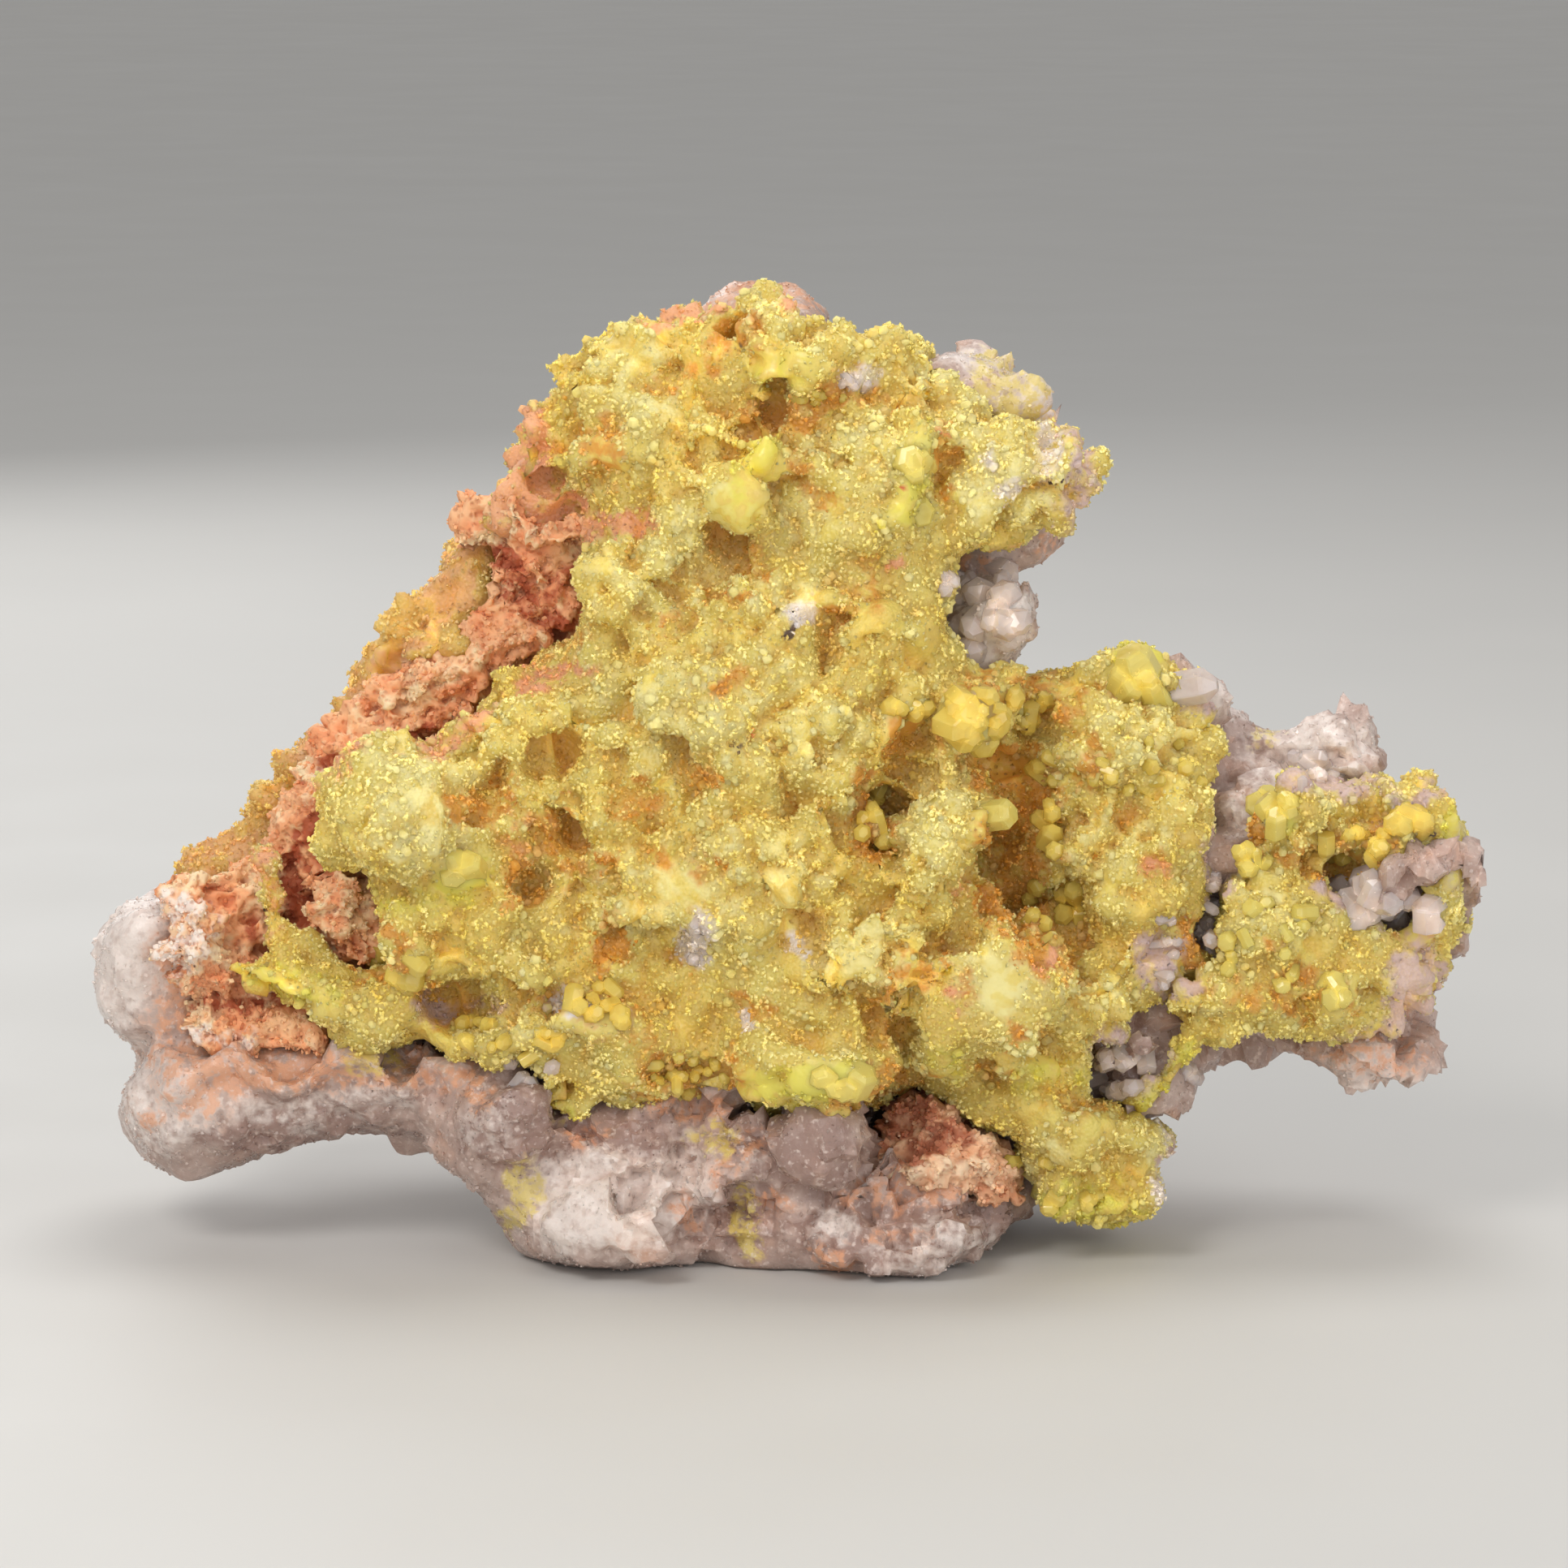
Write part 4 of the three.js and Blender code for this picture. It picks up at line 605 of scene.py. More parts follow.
class Surface:
    """The skin of one piece in millimetres, which is pushed about and stained in place."""

    # How far lumps rise and pits sink, for one millimetre in the tables.
    LUMP_RISE = 1.55
    PIT_DEPTH = 0.9
    # What faces the viewer less squarely than the first takes no relief or stain, and more than the last all of it.
    RELIEF_FACING = (-0.35, 0.25)
    STAIN_FACING = (-0.35, 0.1)

    def __init__(self, piece: bpy.types.Object) -> None:
        """Reads the piece's points."""
        self.piece = piece
        self.mesh = piece.data
        self.points = np.empty(0)
        self.normals = np.empty(0)
        self.read()

    def read(self) -> None:
        """Takes the points and the outward directions from the mesh."""
        self.points = numbers_of(self.mesh.vertices, "co") / MM
        self.normals = numbers_of(self.mesh.vertex_normals, "vector")

    def write(self) -> None:
        """Puts the points back, none far outside the solids' box, and takes the new outward directions."""
        middle = (BOX_LOW + BOX_HIGH) / 2
        half = (BOX_HIGH - BOX_LOW) / 2
        out = self.points - middle
        over = np.maximum(np.abs(out) - (half - BOX_EDGE), 0.0)
        held = np.minimum(np.abs(out), half - BOX_EDGE) + BOX_EASE * np.tanh(over / BOX_EASE)
        self.points[:, :2] = (middle + np.sign(out) * held)[:, :2]
        self.points[:, 2] = np.clip(self.points[:, 2], 0.0, BOX_HIGH[2] + CREST_ROOM)
        self.mesh.vertices.foreach_set("co", (self.points * MM).astype(np.float32).ravel())
        self.mesh.update()
        self.read()

    def triangles(self) -> np.ndarray:
        """Gives the numbers of the three points of each triangle."""
        self.mesh.calc_loop_triangles()
        return numbers_of(self.mesh.loop_triangles, "vertices", kind=np.int32)

    def facing(self) -> np.ndarray:
        """Gives how squarely each point faces the viewer, 1 straight on and negative from behind."""
        return -(self.normals @ VIEW.along())

    def push(self, amount: np.ndarray) -> None:
        """Moves each point outwards by its amount, but not what stands on the floor."""
        standing = fade(self.points[:, 2], 0.05, 0.7)
        self.points = self.points + self.normals * (amount * standing)[:, None]
        self.write()

    def raise_patches(self, rows: Iterable[Patch], seed: int, ragged: float) -> None:
        """Raises lumps and sinks pits on the front, with ragged edges.

        Args:
            rows: The patches, whose amount is the rise in millimetres.
            seed: Which raggedness.
            ragged: How far the edges wander, in millimetres.
        """
        across, up = VIEW.sheet(self.points)
        across = across + ragged * Cloud(2.4, seed, 3).at(self.points)
        up = up + ragged * Cloud(2.4, seed + 5, 3).at(self.points)
        crumbled = 1.0 + 0.9 * Cloud(1.6, seed + 3, 2).at(self.points)
        rise = np.zeros(len(self.points))
        for row in rows:
            form = np.clip(1.0 - row.reach(across, up) ** 2, 0.0, 1.0) ** 0.6
            rise += row.amount * form * (self.LUMP_RISE if row.amount > 0.0 else self.PIT_DEPTH * crumbled)
        way = 0.6 * self.normals - 0.4 * VIEW.along()
        way /= np.linalg.norm(way, axis=1)[:, None]
        rise *= fade(self.facing(), *self.RELIEF_FACING) * fade(self.points[:, 2], 0.05, 1.2)
        self.points = self.points + way * rise[:, None]
        self.write()

    def hollows(self, passes: int) -> np.ndarray:
        """Measures how deep each point lies below its surroundings.

        Args:
            passes: How many rings of neighbours count as the surroundings.

        Returns:
            The depth in millimetres, negative on humps.
        """
        count = len(self.points)
        first, second = numbers_of(self.mesh.edges, "vertices", 2, np.int32).T
        degree = np.bincount(first, minlength=count) + np.bincount(second, minlength=count)
        calm = self.points.astype(float)
        for _ in range(passes):
            total = np.empty_like(calm)
            for axis in range(3):
                total[:, axis] = np.bincount(first, calm[second, axis], count)
                total[:, axis] += np.bincount(second, calm[first, axis], count)
            calm = 0.4 * calm + 0.6 * total / np.maximum(degree, 1)[:, None]
        return ((calm - self.points) * self.normals).sum(axis=1)

    def note(self, tint: Tint, values: np.ndarray) -> None:
        """Keeps one number for each point under the tint's name."""
        note_tint(self.mesh, tint, values)

    def noted(self, tint: Tint) -> np.ndarray:
        """Reads the numbers kept under the tint's name."""
        return numbers_of(self.mesh.attributes[tint.value].data, "value", 1).ravel()

    def cover(self, rows: Iterable[Patch], seed: int) -> np.ndarray:
        """Gives how strongly patches of the front cover each point, with ragged edges.

        Args:
            rows: The patches, whose amount is the strength.
            seed: Which raggedness.

        Returns:
            0 where no patch reaches and 1 where one covers fully.
        """
        across, up = VIEW.sheet(self.points)
        across = across + 0.6 * Cloud(2.0, seed, 3).at(self.points)
        up = up + 0.6 * Cloud(2.0, seed + 9, 3).at(self.points)
        clear = np.ones(len(self.points))
        for row in rows:
            cover = fade(row.reach(across, up), 1.35, 0.45)
            clear *= 1.0 - np.clip(row.amount * cover, 0.0, 1.0)
        return (1.0 - clear) * fade(self.facing(), *self.STAIN_FACING)


def select_only(piece: bpy.types.Object) -> None:
    """Makes the piece the only thing selected, and the active one."""
    for other in bpy.context.scene.objects:
        other.select_set(other is piece)
    bpy.context.view_layer.objects.active = piece


def finish_modifiers(piece: bpy.types.Object) -> None:
    """Applies all the piece's modifiers in order."""
    select_only(piece)
    for modifier in list(piece.modifiers):
        bpy.ops.object.modifier_apply(modifier=modifier.name)


def skin(piece: bpy.types.Object, voxel: float, smoothing: int) -> None:
    """Gives the piece an even, fine skin.

    Args:
        piece: The piece, a closed mesh.
        voxel: The size of the skin's squares in millimetres.
        smoothing: How many times it is rubbed smooth.
    """
    remesh = piece.modifiers.new("skin", "REMESH")
    remesh.mode = "VOXEL"
    remesh.voxel_size = voxel * MM
    if smoothing:
        smooth = piece.modifiers.new("rub", "SMOOTH")
        smooth.factor = 0.5
        smooth.iterations = smoothing
    finish_modifiers(piece)
    piece.data.shade_smooth()


def shed_crumbs(piece: bpy.types.Object, least: float) -> None:
    """Throws away the loose bits and closed bubbles that the skin left.

    Args:
        piece: The skinned piece.
        least: The share of the piece's points that a part needs to stay.
    """
    whole = len(piece.data.vertices)
    select_only(piece)
    bpy.ops.object.mode_set(mode="EDIT")
    bpy.ops.mesh.select_all(action="SELECT")
    bpy.ops.mesh.separate(type="LOOSE")
    bpy.ops.object.mode_set(mode="OBJECT")
    parts = sorted(bpy.context.selected_objects, key=lambda part: -len(part.data.vertices))
    if parts[0] is not piece:
        piece.data, parts[0].data = parts[0].data, piece.data
    for part in [other for other in parts if other is not piece]:
        if len(part.data.vertices) < least * whole:
            bpy.data.objects.remove(part)
    bpy.context.view_layer.objects.active = piece
    if len(bpy.context.selected_objects) > 1:
        bpy.ops.object.join()


def faces_out() -> None:
    """Turns all faces of the piece in edit mode outwards, and leaves edit mode."""
    bpy.ops.mesh.select_all(action="SELECT")
    bpy.ops.mesh.normals_make_consistent(inside=False)
    bpy.ops.object.mode_set(mode="OBJECT")


def welded_copy(node: str, name: str) -> bpy.types.Object:
    """Copies a solid and joins its loose triangles into one closed mesh.

    Args:
        node: The solid's name.
        name: The new piece's name.

    Returns:
        The new piece, at the origin.
    """
    piece = bpy.data.objects.new(name, frame["nodes"][node].data.copy())
    piece.data.materials.clear()
    bpy.context.scene.collection.objects.link(piece)
    select_only(piece)
    bpy.ops.object.mode_set(mode="EDIT")
    bpy.ops.mesh.select_all(action="SELECT")
    bpy.ops.mesh.remove_doubles(threshold=WELD * MM)
    faces_out()
    return piece


Colour = tuple[float, float, float, float]


def paint(red: int, green: int, blue: int) -> Colour:
    """Turns a colour seen by eye, 0 to 255 each, into the linear colour of a shader."""
    parts = [value / 255 for value in (red, green, blue)]
    linear = [((part + 0.055) / 1.055) ** 2.4 if part > 0.04 else part / 12.92 for part in parts]
    return (linear[0], linear[1], linear[2], 1.0)


Feed = bpy.types.NodeSocket | float | tuple[float, ...]


class Bench:
    """Where the nodes of one finish are set out and joined."""

    # How far the noise is moved for each step of its seed, in metres.
    SEED_STEP = (0.031, 0.017, 0.023)

    def __init__(self, name: str) -> None:
        """Starts a material with its shader."""
        self.material = bpy.data.materials.new(name)
        self.material.use_nodes = True
        self.tree = self.material.node_tree
        self.shader = self.tree.nodes["Principled BSDF"]
        self.place = self.tree.nodes.new("ShaderNodeTexCoord").outputs["Object"]
        self.noises: dict[tuple[float, int, float], bpy.types.NodeSocket] = {}

    def feed(self, node: bpy.types.Node, inputs: dict[str | int, Feed]) -> None:
        """Joins sockets to a node's inputs, and sets the inputs whose source is a plain value."""
        for name, source in inputs.items():
            if isinstance(source, bpy.types.NodeSocket):
                self.tree.links.new(source, node.inputs[name])
            else:
                node.inputs[name].default_value = source

    def node(self, kind: str, inputs: dict[str | int, Feed], **options: str | bool) -> bpy.types.Node:
        """Adds a node.

        Args:
            kind: What kind of node it is.
            inputs: What feeds its inputs.
            options: Its options.

        Returns:
            The node.
        """
        node = self.tree.nodes.new(f"ShaderNode{kind}")
        for name, value in options.items():
            setattr(node, name, value)
        self.feed(node, inputs)
        return node

    def noise(self, size: float, seed: int, detail: float = 2.0) -> bpy.types.NodeSocket:
        """Gives soft noise with swellings of a size in millimetres, the same node for the same noise."""
        own = (size, seed, detail)
        if own not in self.noises:
            shift = self.node("Mapping", {"Location": tuple(seed * step for step in self.SEED_STEP),
                                          "Vector": self.place})
            texture = self.node("TexNoise", {"Scale": 1.0 / (size * MM), "Detail": detail,
                                             "Vector": shift.outputs["Vector"]})
            self.noises[own] = texture.outputs["Fac"]
        return self.noises[own]

    def packed(self, size: float) -> bpy.types.Node:
        """Sets out packed cells, each of a size in millimetres."""
        return self.node("TexVoronoi", {"Scale": 1.0 / (size * MM), "Vector": self.place})

    def cells(self, size: float) -> bpy.types.NodeSocket:
        """Gives the distance from the middle of each packed cell of a size in millimetres."""
        return self.packed(size).outputs["Distance"]

    def arrows(self, action: str, first: Feed, second: Feed) -> bpy.types.Node:
        """Joins two directions by subtracting or multiplying them."""
        return self.node("VectorMath", {0: first, 1: second}, operation=action)

    def flats(self, size: float) -> bpy.types.NodeSocket:
        """Gives a height made of small tilted flats, as broken crystal shows.

        Args:
            size: How wide each flat is, in millimetres.

        Returns:
            The height, about one unit from the lowest to the highest.
        """
        texture = self.packed(size)
        offset = self.arrows("SUBTRACT", self.place, texture.outputs["Position"]).outputs["Vector"]
        lean = self.arrows("SUBTRACT", texture.outputs["Color"], (0.5, 0.5, 0.5)).outputs["Vector"]
        slope = self.arrows("DOT_PRODUCT", offset, lean).outputs["Value"]
        return self.spread(slope, -0.6 * size * MM, 0.6 * size * MM)

    def attribute(self, tint: Tint) -> bpy.types.NodeSocket:
        """Reads a stain of the mesh."""
        return self.node("Attribute", {}, attribute_name=tint.value).outputs["Fac"]

    def spread(self, value: Feed, low: float, high: float, least: float = 0.0,
               most: float = 1.0) -> bpy.types.NodeSocket:
        """Stretches a value so that low becomes least and high becomes most.

        Args:
            value: The value.
            low: The value that becomes least.
            high: The value that becomes most.
            least: The lowest result.
            most: The highest result.

        Returns:
            The stretched value.
        """
        return self.node("MapRange", {"Value": value, "From Min": low, "From Max": high, "To Min": least,
                                      "To Max": most}).outputs["Result"]

    def reckon(self, action: str, first: Feed, second: Feed, held: bool = True) -> bpy.types.NodeSocket:
        """Adds, multiplies or otherwise joins two numbers, held between 0 and 1 or not."""
        return self.node("Math", {0: first, 1: second}, operation=action, use_clamp=held).outputs["Value"]

    def blend(self, share: Feed, under: Feed, over: Feed, way: str = "MIX") -> bpy.types.NodeSocket:
        """Lays one colour over another by a share of 0 to 1.

        Args:
            share: How much of the upper colour shows.
            under: The colour below.
            over: The colour above.
            way: How they mix.

        Returns:
            The mixed colour.
        """
        return self.node("Mix", {"Factor": share, 6: under, 7: over}, data_type="RGBA", blend_type=way).outputs[2]

    def veiled(self, base: Feed, mask: Feed, low: float, high: float, most: float, colour: Colour,
               way: str = "MIX") -> bpy.types.NodeSocket:
        """Lays a colour over the base where a mask is high.

        Args:
            base: The colour so far.
            mask: The mask.
            low: Where the mask starts to count.
            high: Where it counts in full.
            most: How much of the colour shows there.
            colour: The colour.
            way: How they mix.

        Returns:
            The veiled colour.
        """
        return self.blend(self.spread(mask, low, high, 0.0, most), base, colour, way)

    def stained(self, base: bpy.types.NodeSocket, tint: Tint, colour: Colour,
                ragged: float = 0.5, powdery: bool = False) -> bpy.types.NodeSocket:
        """Lays the colour of a stain, or of a patch of painted light or shade, over the base where the mesh holds it,
        broken up by noise.

        Args:
            base: The colour so far.
            tint: Which stain.
            colour: The stain's colour.
            ragged: How strongly the noise breaks it up.
            powdery: Whether it lies like powder, thinning out softly.

        Returns:
            The stained colour.
        """
        grit = self.noise(0.6, 6, 6.0) if powdery else self.noise(0.9, 4)
        breaks = self.spread(grit, 0.35, 0.65, -ragged, ragged)
        whole = self.attribute(tint)
        torn = self.reckon("MULTIPLY", breaks, self.spread(whole, 0.0, 0.4), False)
        share = self.reckon("ADD", whole, torn)
        share = self.spread(share, 0.1, 1.1, 0.0, 0.92) if powdery else self.spread(share, 0.12, 0.85)
        return self.blend(share, base, colour)

    def bump(self, height: Feed, strength: float, depth: float,
             under: bpy.types.NodeSocket | None = None) -> bpy.types.NodeSocket:
        """Roughens the shading by a height of so many millimetres."""
        lower = {} if under is None else {"Normal": under}
        sockets = {"Strength": strength, "Distance": depth * MM, "Height": height}
        return self.node("Bump", sockets | lower).outputs["Normal"]

    def glow(self, weight: float, radius: tuple[float, float, float], scale: float) -> None:
        """Lets light soak into the stone, by a depth in millimetres."""
        self.shader.subsurface_method = "BURLEY"
        self.feed(self.shader, {"Subsurface Weight": weight, "Subsurface Radius": radius,
                                "Subsurface Scale": scale * MM})

    def done(self, colour: Feed, roughness: Feed,
             normal: bpy.types.NodeSocket | None = None) -> bpy.types.Material:
        """Joins colour, roughness and normal to the shader, and gives the material."""
        bumps = {} if normal is None else {"Normal": normal}
        self.feed(self.shader, {"Base Color": colour, "Roughness": roughness} | bumps)
        return self.material


@dataclass(frozen=True)
class EttringiteFinish:
    """Sugary yellow ettringite: pale lemon grains on honey-coloured crust, with painted shade turning ochre, amber and
    red-brown in the hollows and pits.
    """

    name: str = "sugary_ettringite"
    honey: Colour = paint(230, 200, 102)
    yellow: Colour = paint(233, 212, 112)
    straw: Colour = paint(240, 226, 150)
    ochre: Colour = paint(224, 182, 86)
    lemon: Colour = paint(230, 216, 94)
    amber: Colour = paint(224, 160, 70)
    deep: Colour = paint(190, 106, 52)
    salmon: Colour = paint(240, 174, 126)
    stone: Colour = paint(214, 184, 170)
    chalk: Colour = paint(242, 228, 214)
    speck: Colour = paint(214, 96, 48)
    soot: Colour = paint(104, 84, 72)
    glint: Colour = paint(252, 244, 196)
    grainy: bool = False

    def material(self) -> bpy.types.Material:
        """Builds the finish."""
        bench = Bench(self.name)
        middle = bench.noise(0.9, 4)
        under, over = (self.yellow, self.straw) if self.grainy else (self.honey, self.yellow)
        colour = bench.blend(bench.spread(bench.noise(3.4, 1), 0.38, 0.6), under, over)
        colour = bench.veiled(colour, middle, 0.5, 0.68, 0.4, self.ochre)
        # Lemon stain; pale straw, partly painted light on the lumps; amber, partly painted shade in the pits.
        for tint, stain in ((Tint.LEMON, self.lemon), (Tint.PALE_AND_PAINTED_LIGHT, self.straw), (Tint.AMBER_AND_PAINTED_SHADE, self.amber)):
            colour = bench.stained(colour, tint, stain)
        # Painted shade: ochre, amber and red-brown grow with the depth of each hollow.
        for low, high, most, stain in ((0.02, 0.3, 0.6, self.ochre), (0.3, 1.0, 0.75, self.amber),
                                       (0.8, 1.6, 0.8, self.deep)):
            colour = bench.veiled(colour, bench.attribute(Tint.HOLLOW_SHADE), low, high, most, stain)
        for tint, stain, ragged in ((Tint.SALMON, self.salmon, 0.5), (Tint.MAUVE, self.stone, 0.4),
                                    (Tint.CHALK, self.chalk, 0.3), (Tint.SPECK, self.speck, 0.3),
                                    (Tint.SOOT, self.soot, 0.4)):
            colour = bench.stained(colour, tint, stain, ragged)
        if self.grainy:
            tone = bench.attribute(Tint.TONE)
            colour = bench.veiled(colour, tone, 0.4, 1.0, 0.16, self.glint)
            bench.glow(1.0, (1.0, 0.85, 0.45), 0.9)
            bench.feed(bench.shader, {"Specular IOR Level": 0.14})
            return bench.done(colour, bench.spread(tone, 0.9, 1.0, 0.75, 0.45))
        bench.glow(1.0, (1.0, 0.8, 0.35), 1.5)
        domes = bench.spread(bench.cells(0.26), 0.0, 0.75, 1.0, 0.0)
        waxy = bench.attribute(Tint.WAXY)
        domes = bench.reckon("MULTIPLY", domes, bench.spread(waxy, 0.0, 0.6, 1.0, 0.15))
        rough = bench.reckon("SUBTRACT", bench.spread(middle, 0.3, 0.7, 0.35, 0.55),
                             bench.spread(waxy, 0.2, 0.8, 0.0, 0.15), False)
        return bench.done(colour, rough, bench.bump(domes, 0.8, 0.14))


@dataclass(frozen=True)
class CalciteFinish:
    """Lilac-grey to white calcite that light soaks into, with iron stains, fine white flecks, and painted shade in its
    hollows and under the bar and the foot.
    """

    name: str = "lilac_calcite"
    body: Colour = paint(168, 141, 129)
    pale: Colour = paint(184, 157, 146)
    white: Colour = paint(230, 212, 202)
    chalk: Colour = paint(242, 230, 222)
    mauve: Colour = paint(156, 128, 118)
    iron: Colour = paint(222, 164, 128)
    green: Colour = paint(222, 200, 112)
    shade: Colour = paint(144, 108, 92)
    grainy: bool = False

    def material(self) -> bpy.types.Material:
        """Builds the finish."""
        bench = Bench(self.name)
        colour = bench.blend(bench.spread(bench.noise(6.0, 21, 3.0), 0.36, 0.66), self.body, self.pale)
        colour = bench.veiled(colour, bench.noise(1.6, 22, 5.0), 0.36, 0.74, 0.42, self.white)
        colour = bench.veiled(colour, bench.noise(3.6, 23, 5.0), 0.55, 0.74, 0.45, self.iron)
        # Mauve-brown of the stone, and painted shade under the bar and the foot.
        colour = bench.stained(colour, Tint.MAUVE, self.mauve, 0.4)
        for tint, stain, ragged in ((Tint.WHITE, self.chalk, 0.4), (Tint.IRON, self.iron, 0.8),
                                    (Tint.GREEN, self.green, 0.8)):
            colour = bench.stained(colour, tint, stain, ragged, powdery=True)
        colour = bench.veiled(colour, bench.noise(0.35, 28, 3.0), 0.56, 0.7, 0.6, self.white)
        # Painted shade in the hollows.
        colour = bench.veiled(colour, bench.attribute(Tint.HOLLOW_SHADE), 0.1, 0.9, 0.6, self.shade)
        if self.grainy:
            colour = bench.veiled(colour, bench.attribute(Tint.TONE), 0.2, 1.0, 0.3, self.white)
        bench.glow(0.8, (1.0, 0.8, 0.7), 0.4 if self.grainy else 1.2)
        roughness = bench.spread(bench.noise(1.1, 29), 0.35, 0.65, 0.18, 0.5)
        if self.grainy:
            return bench.done(colour, roughness)
        facets = bench.bump(bench.flats(1.5), 0.8, 0.25, bench.bump(bench.flats(0.55), 0.8, 0.16))
        return bench.done(colour, roughness, bench.bump(bench.noise(0.22, 30, 4.0), 0.6, 0.08, facets))


@dataclass(frozen=True)
class StainedRockFinish:
    """Salmon-red porous rock: rough and dull, with pinkish-white veins, and painted shade darkening its pores, pits and
    hollows.
    """

    name: str = "salmon_rock"
    salmon: Colour = paint(246, 192, 148)
    rust: Colour = paint(234, 156, 112)
    deep: Colour = paint(176, 92, 62)
    cream: Colour = paint(248, 220, 180)
    white: Colour = paint(242, 226, 216)
    grainy: bool = False

    def material(self) -> bpy.types.Material:
        """Builds the finish."""
        bench = Bench(self.name)
        colour = bench.blend(bench.spread(bench.noise(2.4, 41), 0.4, 0.62), self.salmon, self.rust)
        colour = bench.veiled(colour, bench.noise(1.3, 42, 5.0), 0.56, 0.63, 0.7, self.cream)
        # Cream and white stains; red-brown, partly rust and partly painted shade in the pits.
        for tint, stain in ((Tint.CREAM, self.cream), (Tint.WHITE, self.white), (Tint.RUST_AND_PAINTED_SHADE, self.deep)):
            colour = bench.stained(colour, tint, stain)
        # Painted shade in the hollows.
        colour = bench.veiled(colour, bench.attribute(Tint.HOLLOW_SHADE), 0.08, 0.5, 0.75, self.deep)
        pores = bench.spread(bench.cells(0.42), 0.1, 0.42, 1.0, 0.0)
        # Painted shade in the middle of each pore.
        if not self.grainy:
            colour = bench.blend(bench.reckon("MULTIPLY", pores, 0.5), colour, self.deep)
        colour = bench.veiled(colour, bench.attribute(Tint.TONE), 0.0, 1.0, 0.35, self.cream, "SOFT_LIGHT")
        bench.glow(0.4, (1.0, 0.5, 0.3), 0.6)
        roughness = bench.spread(bench.noise(0.8, 46), 0.3, 0.7, 0.6, 0.9)
        if self.grainy:
            return bench.done(colour, roughness)
        sunk = bench.bump(bench.spread(pores, 0.0, 1.0, 1.0, 0.0), 0.8, 0.12)
        return bench.done(colour, roughness, bench.bump(bench.noise(0.3, 47, 5.0), 0.6, 0.12, sunk))


@dataclass
class MineralBody:
    """One mineral body: the finely skinned, roughened and stained form of a solid."""

    node: str
    name: str
    slot: str
    voxel: float
    finish: EttringiteFinish | CalciteFinish | StainedRockFinish
    relief: tuple[Patch, ...] = ()
    # The stains of the front, with the patches of painted light and shade among them.
    stains: dict[Tint, tuple[Patch, ...]] = field(default_factory=dict)
    knots: tuple[Knots, ...] = ()
    smoothing: int = 8
    seed: int = 1
    ragged: float = 0.95
    surface: Surface | None = None
    bare: np.ndarray = field(default_factory=lambda: np.empty(0, bool))

    # The share of the points that a loose part of the skin needs to stay, the rings that a hollow is measured
    # over, and how far the air over an open place reaches.
    LEAST_PART = 0.04
    RINGS = 14
    OPEN_AIR = 0.7

    def own_seed(self, tint: Tint) -> int:
        """Gives the body's own raggedness for a stain."""
        return self.seed * 40 + list(Tint).index(tint)

    def look_round(self, shelter: "Shelter") -> None:
        """Finds which points of the skin lie in the open."""
        surface = self.surface
        rows = zip(surface.points, surface.normals)
        self.bare = np.array([shelter.open(surface.piece, point, normal, self.OPEN_AIR) for point, normal in rows])

    def thin_out(self) -> None:
        """Makes the skin coarser where a neighbour covers it."""
        piece = self.surface.piece
        covered = piece.vertex_groups.new(name="covered")
        covered.add([int(number) for number in np.flatnonzero(~self.bare)], 1.0, "REPLACE")
        thin = piece.modifiers.new("thin", "DECIMATE")
        thin.ratio = 1.0 - 0.8 * float((~self.bare).mean())
        thin.vertex_group = "covered"
        thin.vertex_group_factor = 1000.0
        finish_modifiers(piece)
        piece.vertex_groups.clear()

    def roughen(self, surface: Surface) -> None:
        """Raises the knots over the whole skin, the large ones first."""
        points = surface.points
        crumbly = fade(Cloud(6.0, self.seed + 22, 2).at(points), -0.45, 0.35)
        lift = sum(knots.relief(points) for knots in self.knots) * (0.45 + 1.0 * crumbly)
        waxy = surface.cover(self.stains.get(Tint.WAXY, ()), self.own_seed(Tint.WAXY))
        surface.push(lift * (1.0 - 0.85 * waxy) + 0.35 * waxy + 0.12 * Cloud(0.9, self.seed + 20).at(points))

    def build(self) -> bpy.types.Object:
        """Skins, carves, roughens, stains and finishes the body.

        Returns:
            The finished piece, which takes the solid's place.
        """
        piece = welded_copy(self.node, self.name)
        skin(piece, self.voxel, self.smoothing)
        surface = Surface(piece)
        surface.raise_patches(self.relief, self.seed, self.ragged)
        skin(piece, self.voxel, 2)
        shed_crumbs(piece, self.LEAST_PART)
        surface = Surface(piece)
        self.roughen(surface)
        # The depth of each hollow, kept for the painted shade of the finishes.
        surface.note(Tint.HOLLOW_SHADE, np.clip(surface.hollows(self.RINGS), 0.0, 2.0))
        surface.note(Tint.TONE, np.full(len(surface.points), 0.5))
        for tint, rows in self.stains.items():
            surface.note(tint, surface.cover(rows, self.own_seed(tint)))
        piece.data.materials.append(self.finish.material())
        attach(piece, "root")
        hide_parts(self.node)
        self.surface = surface
        return piece


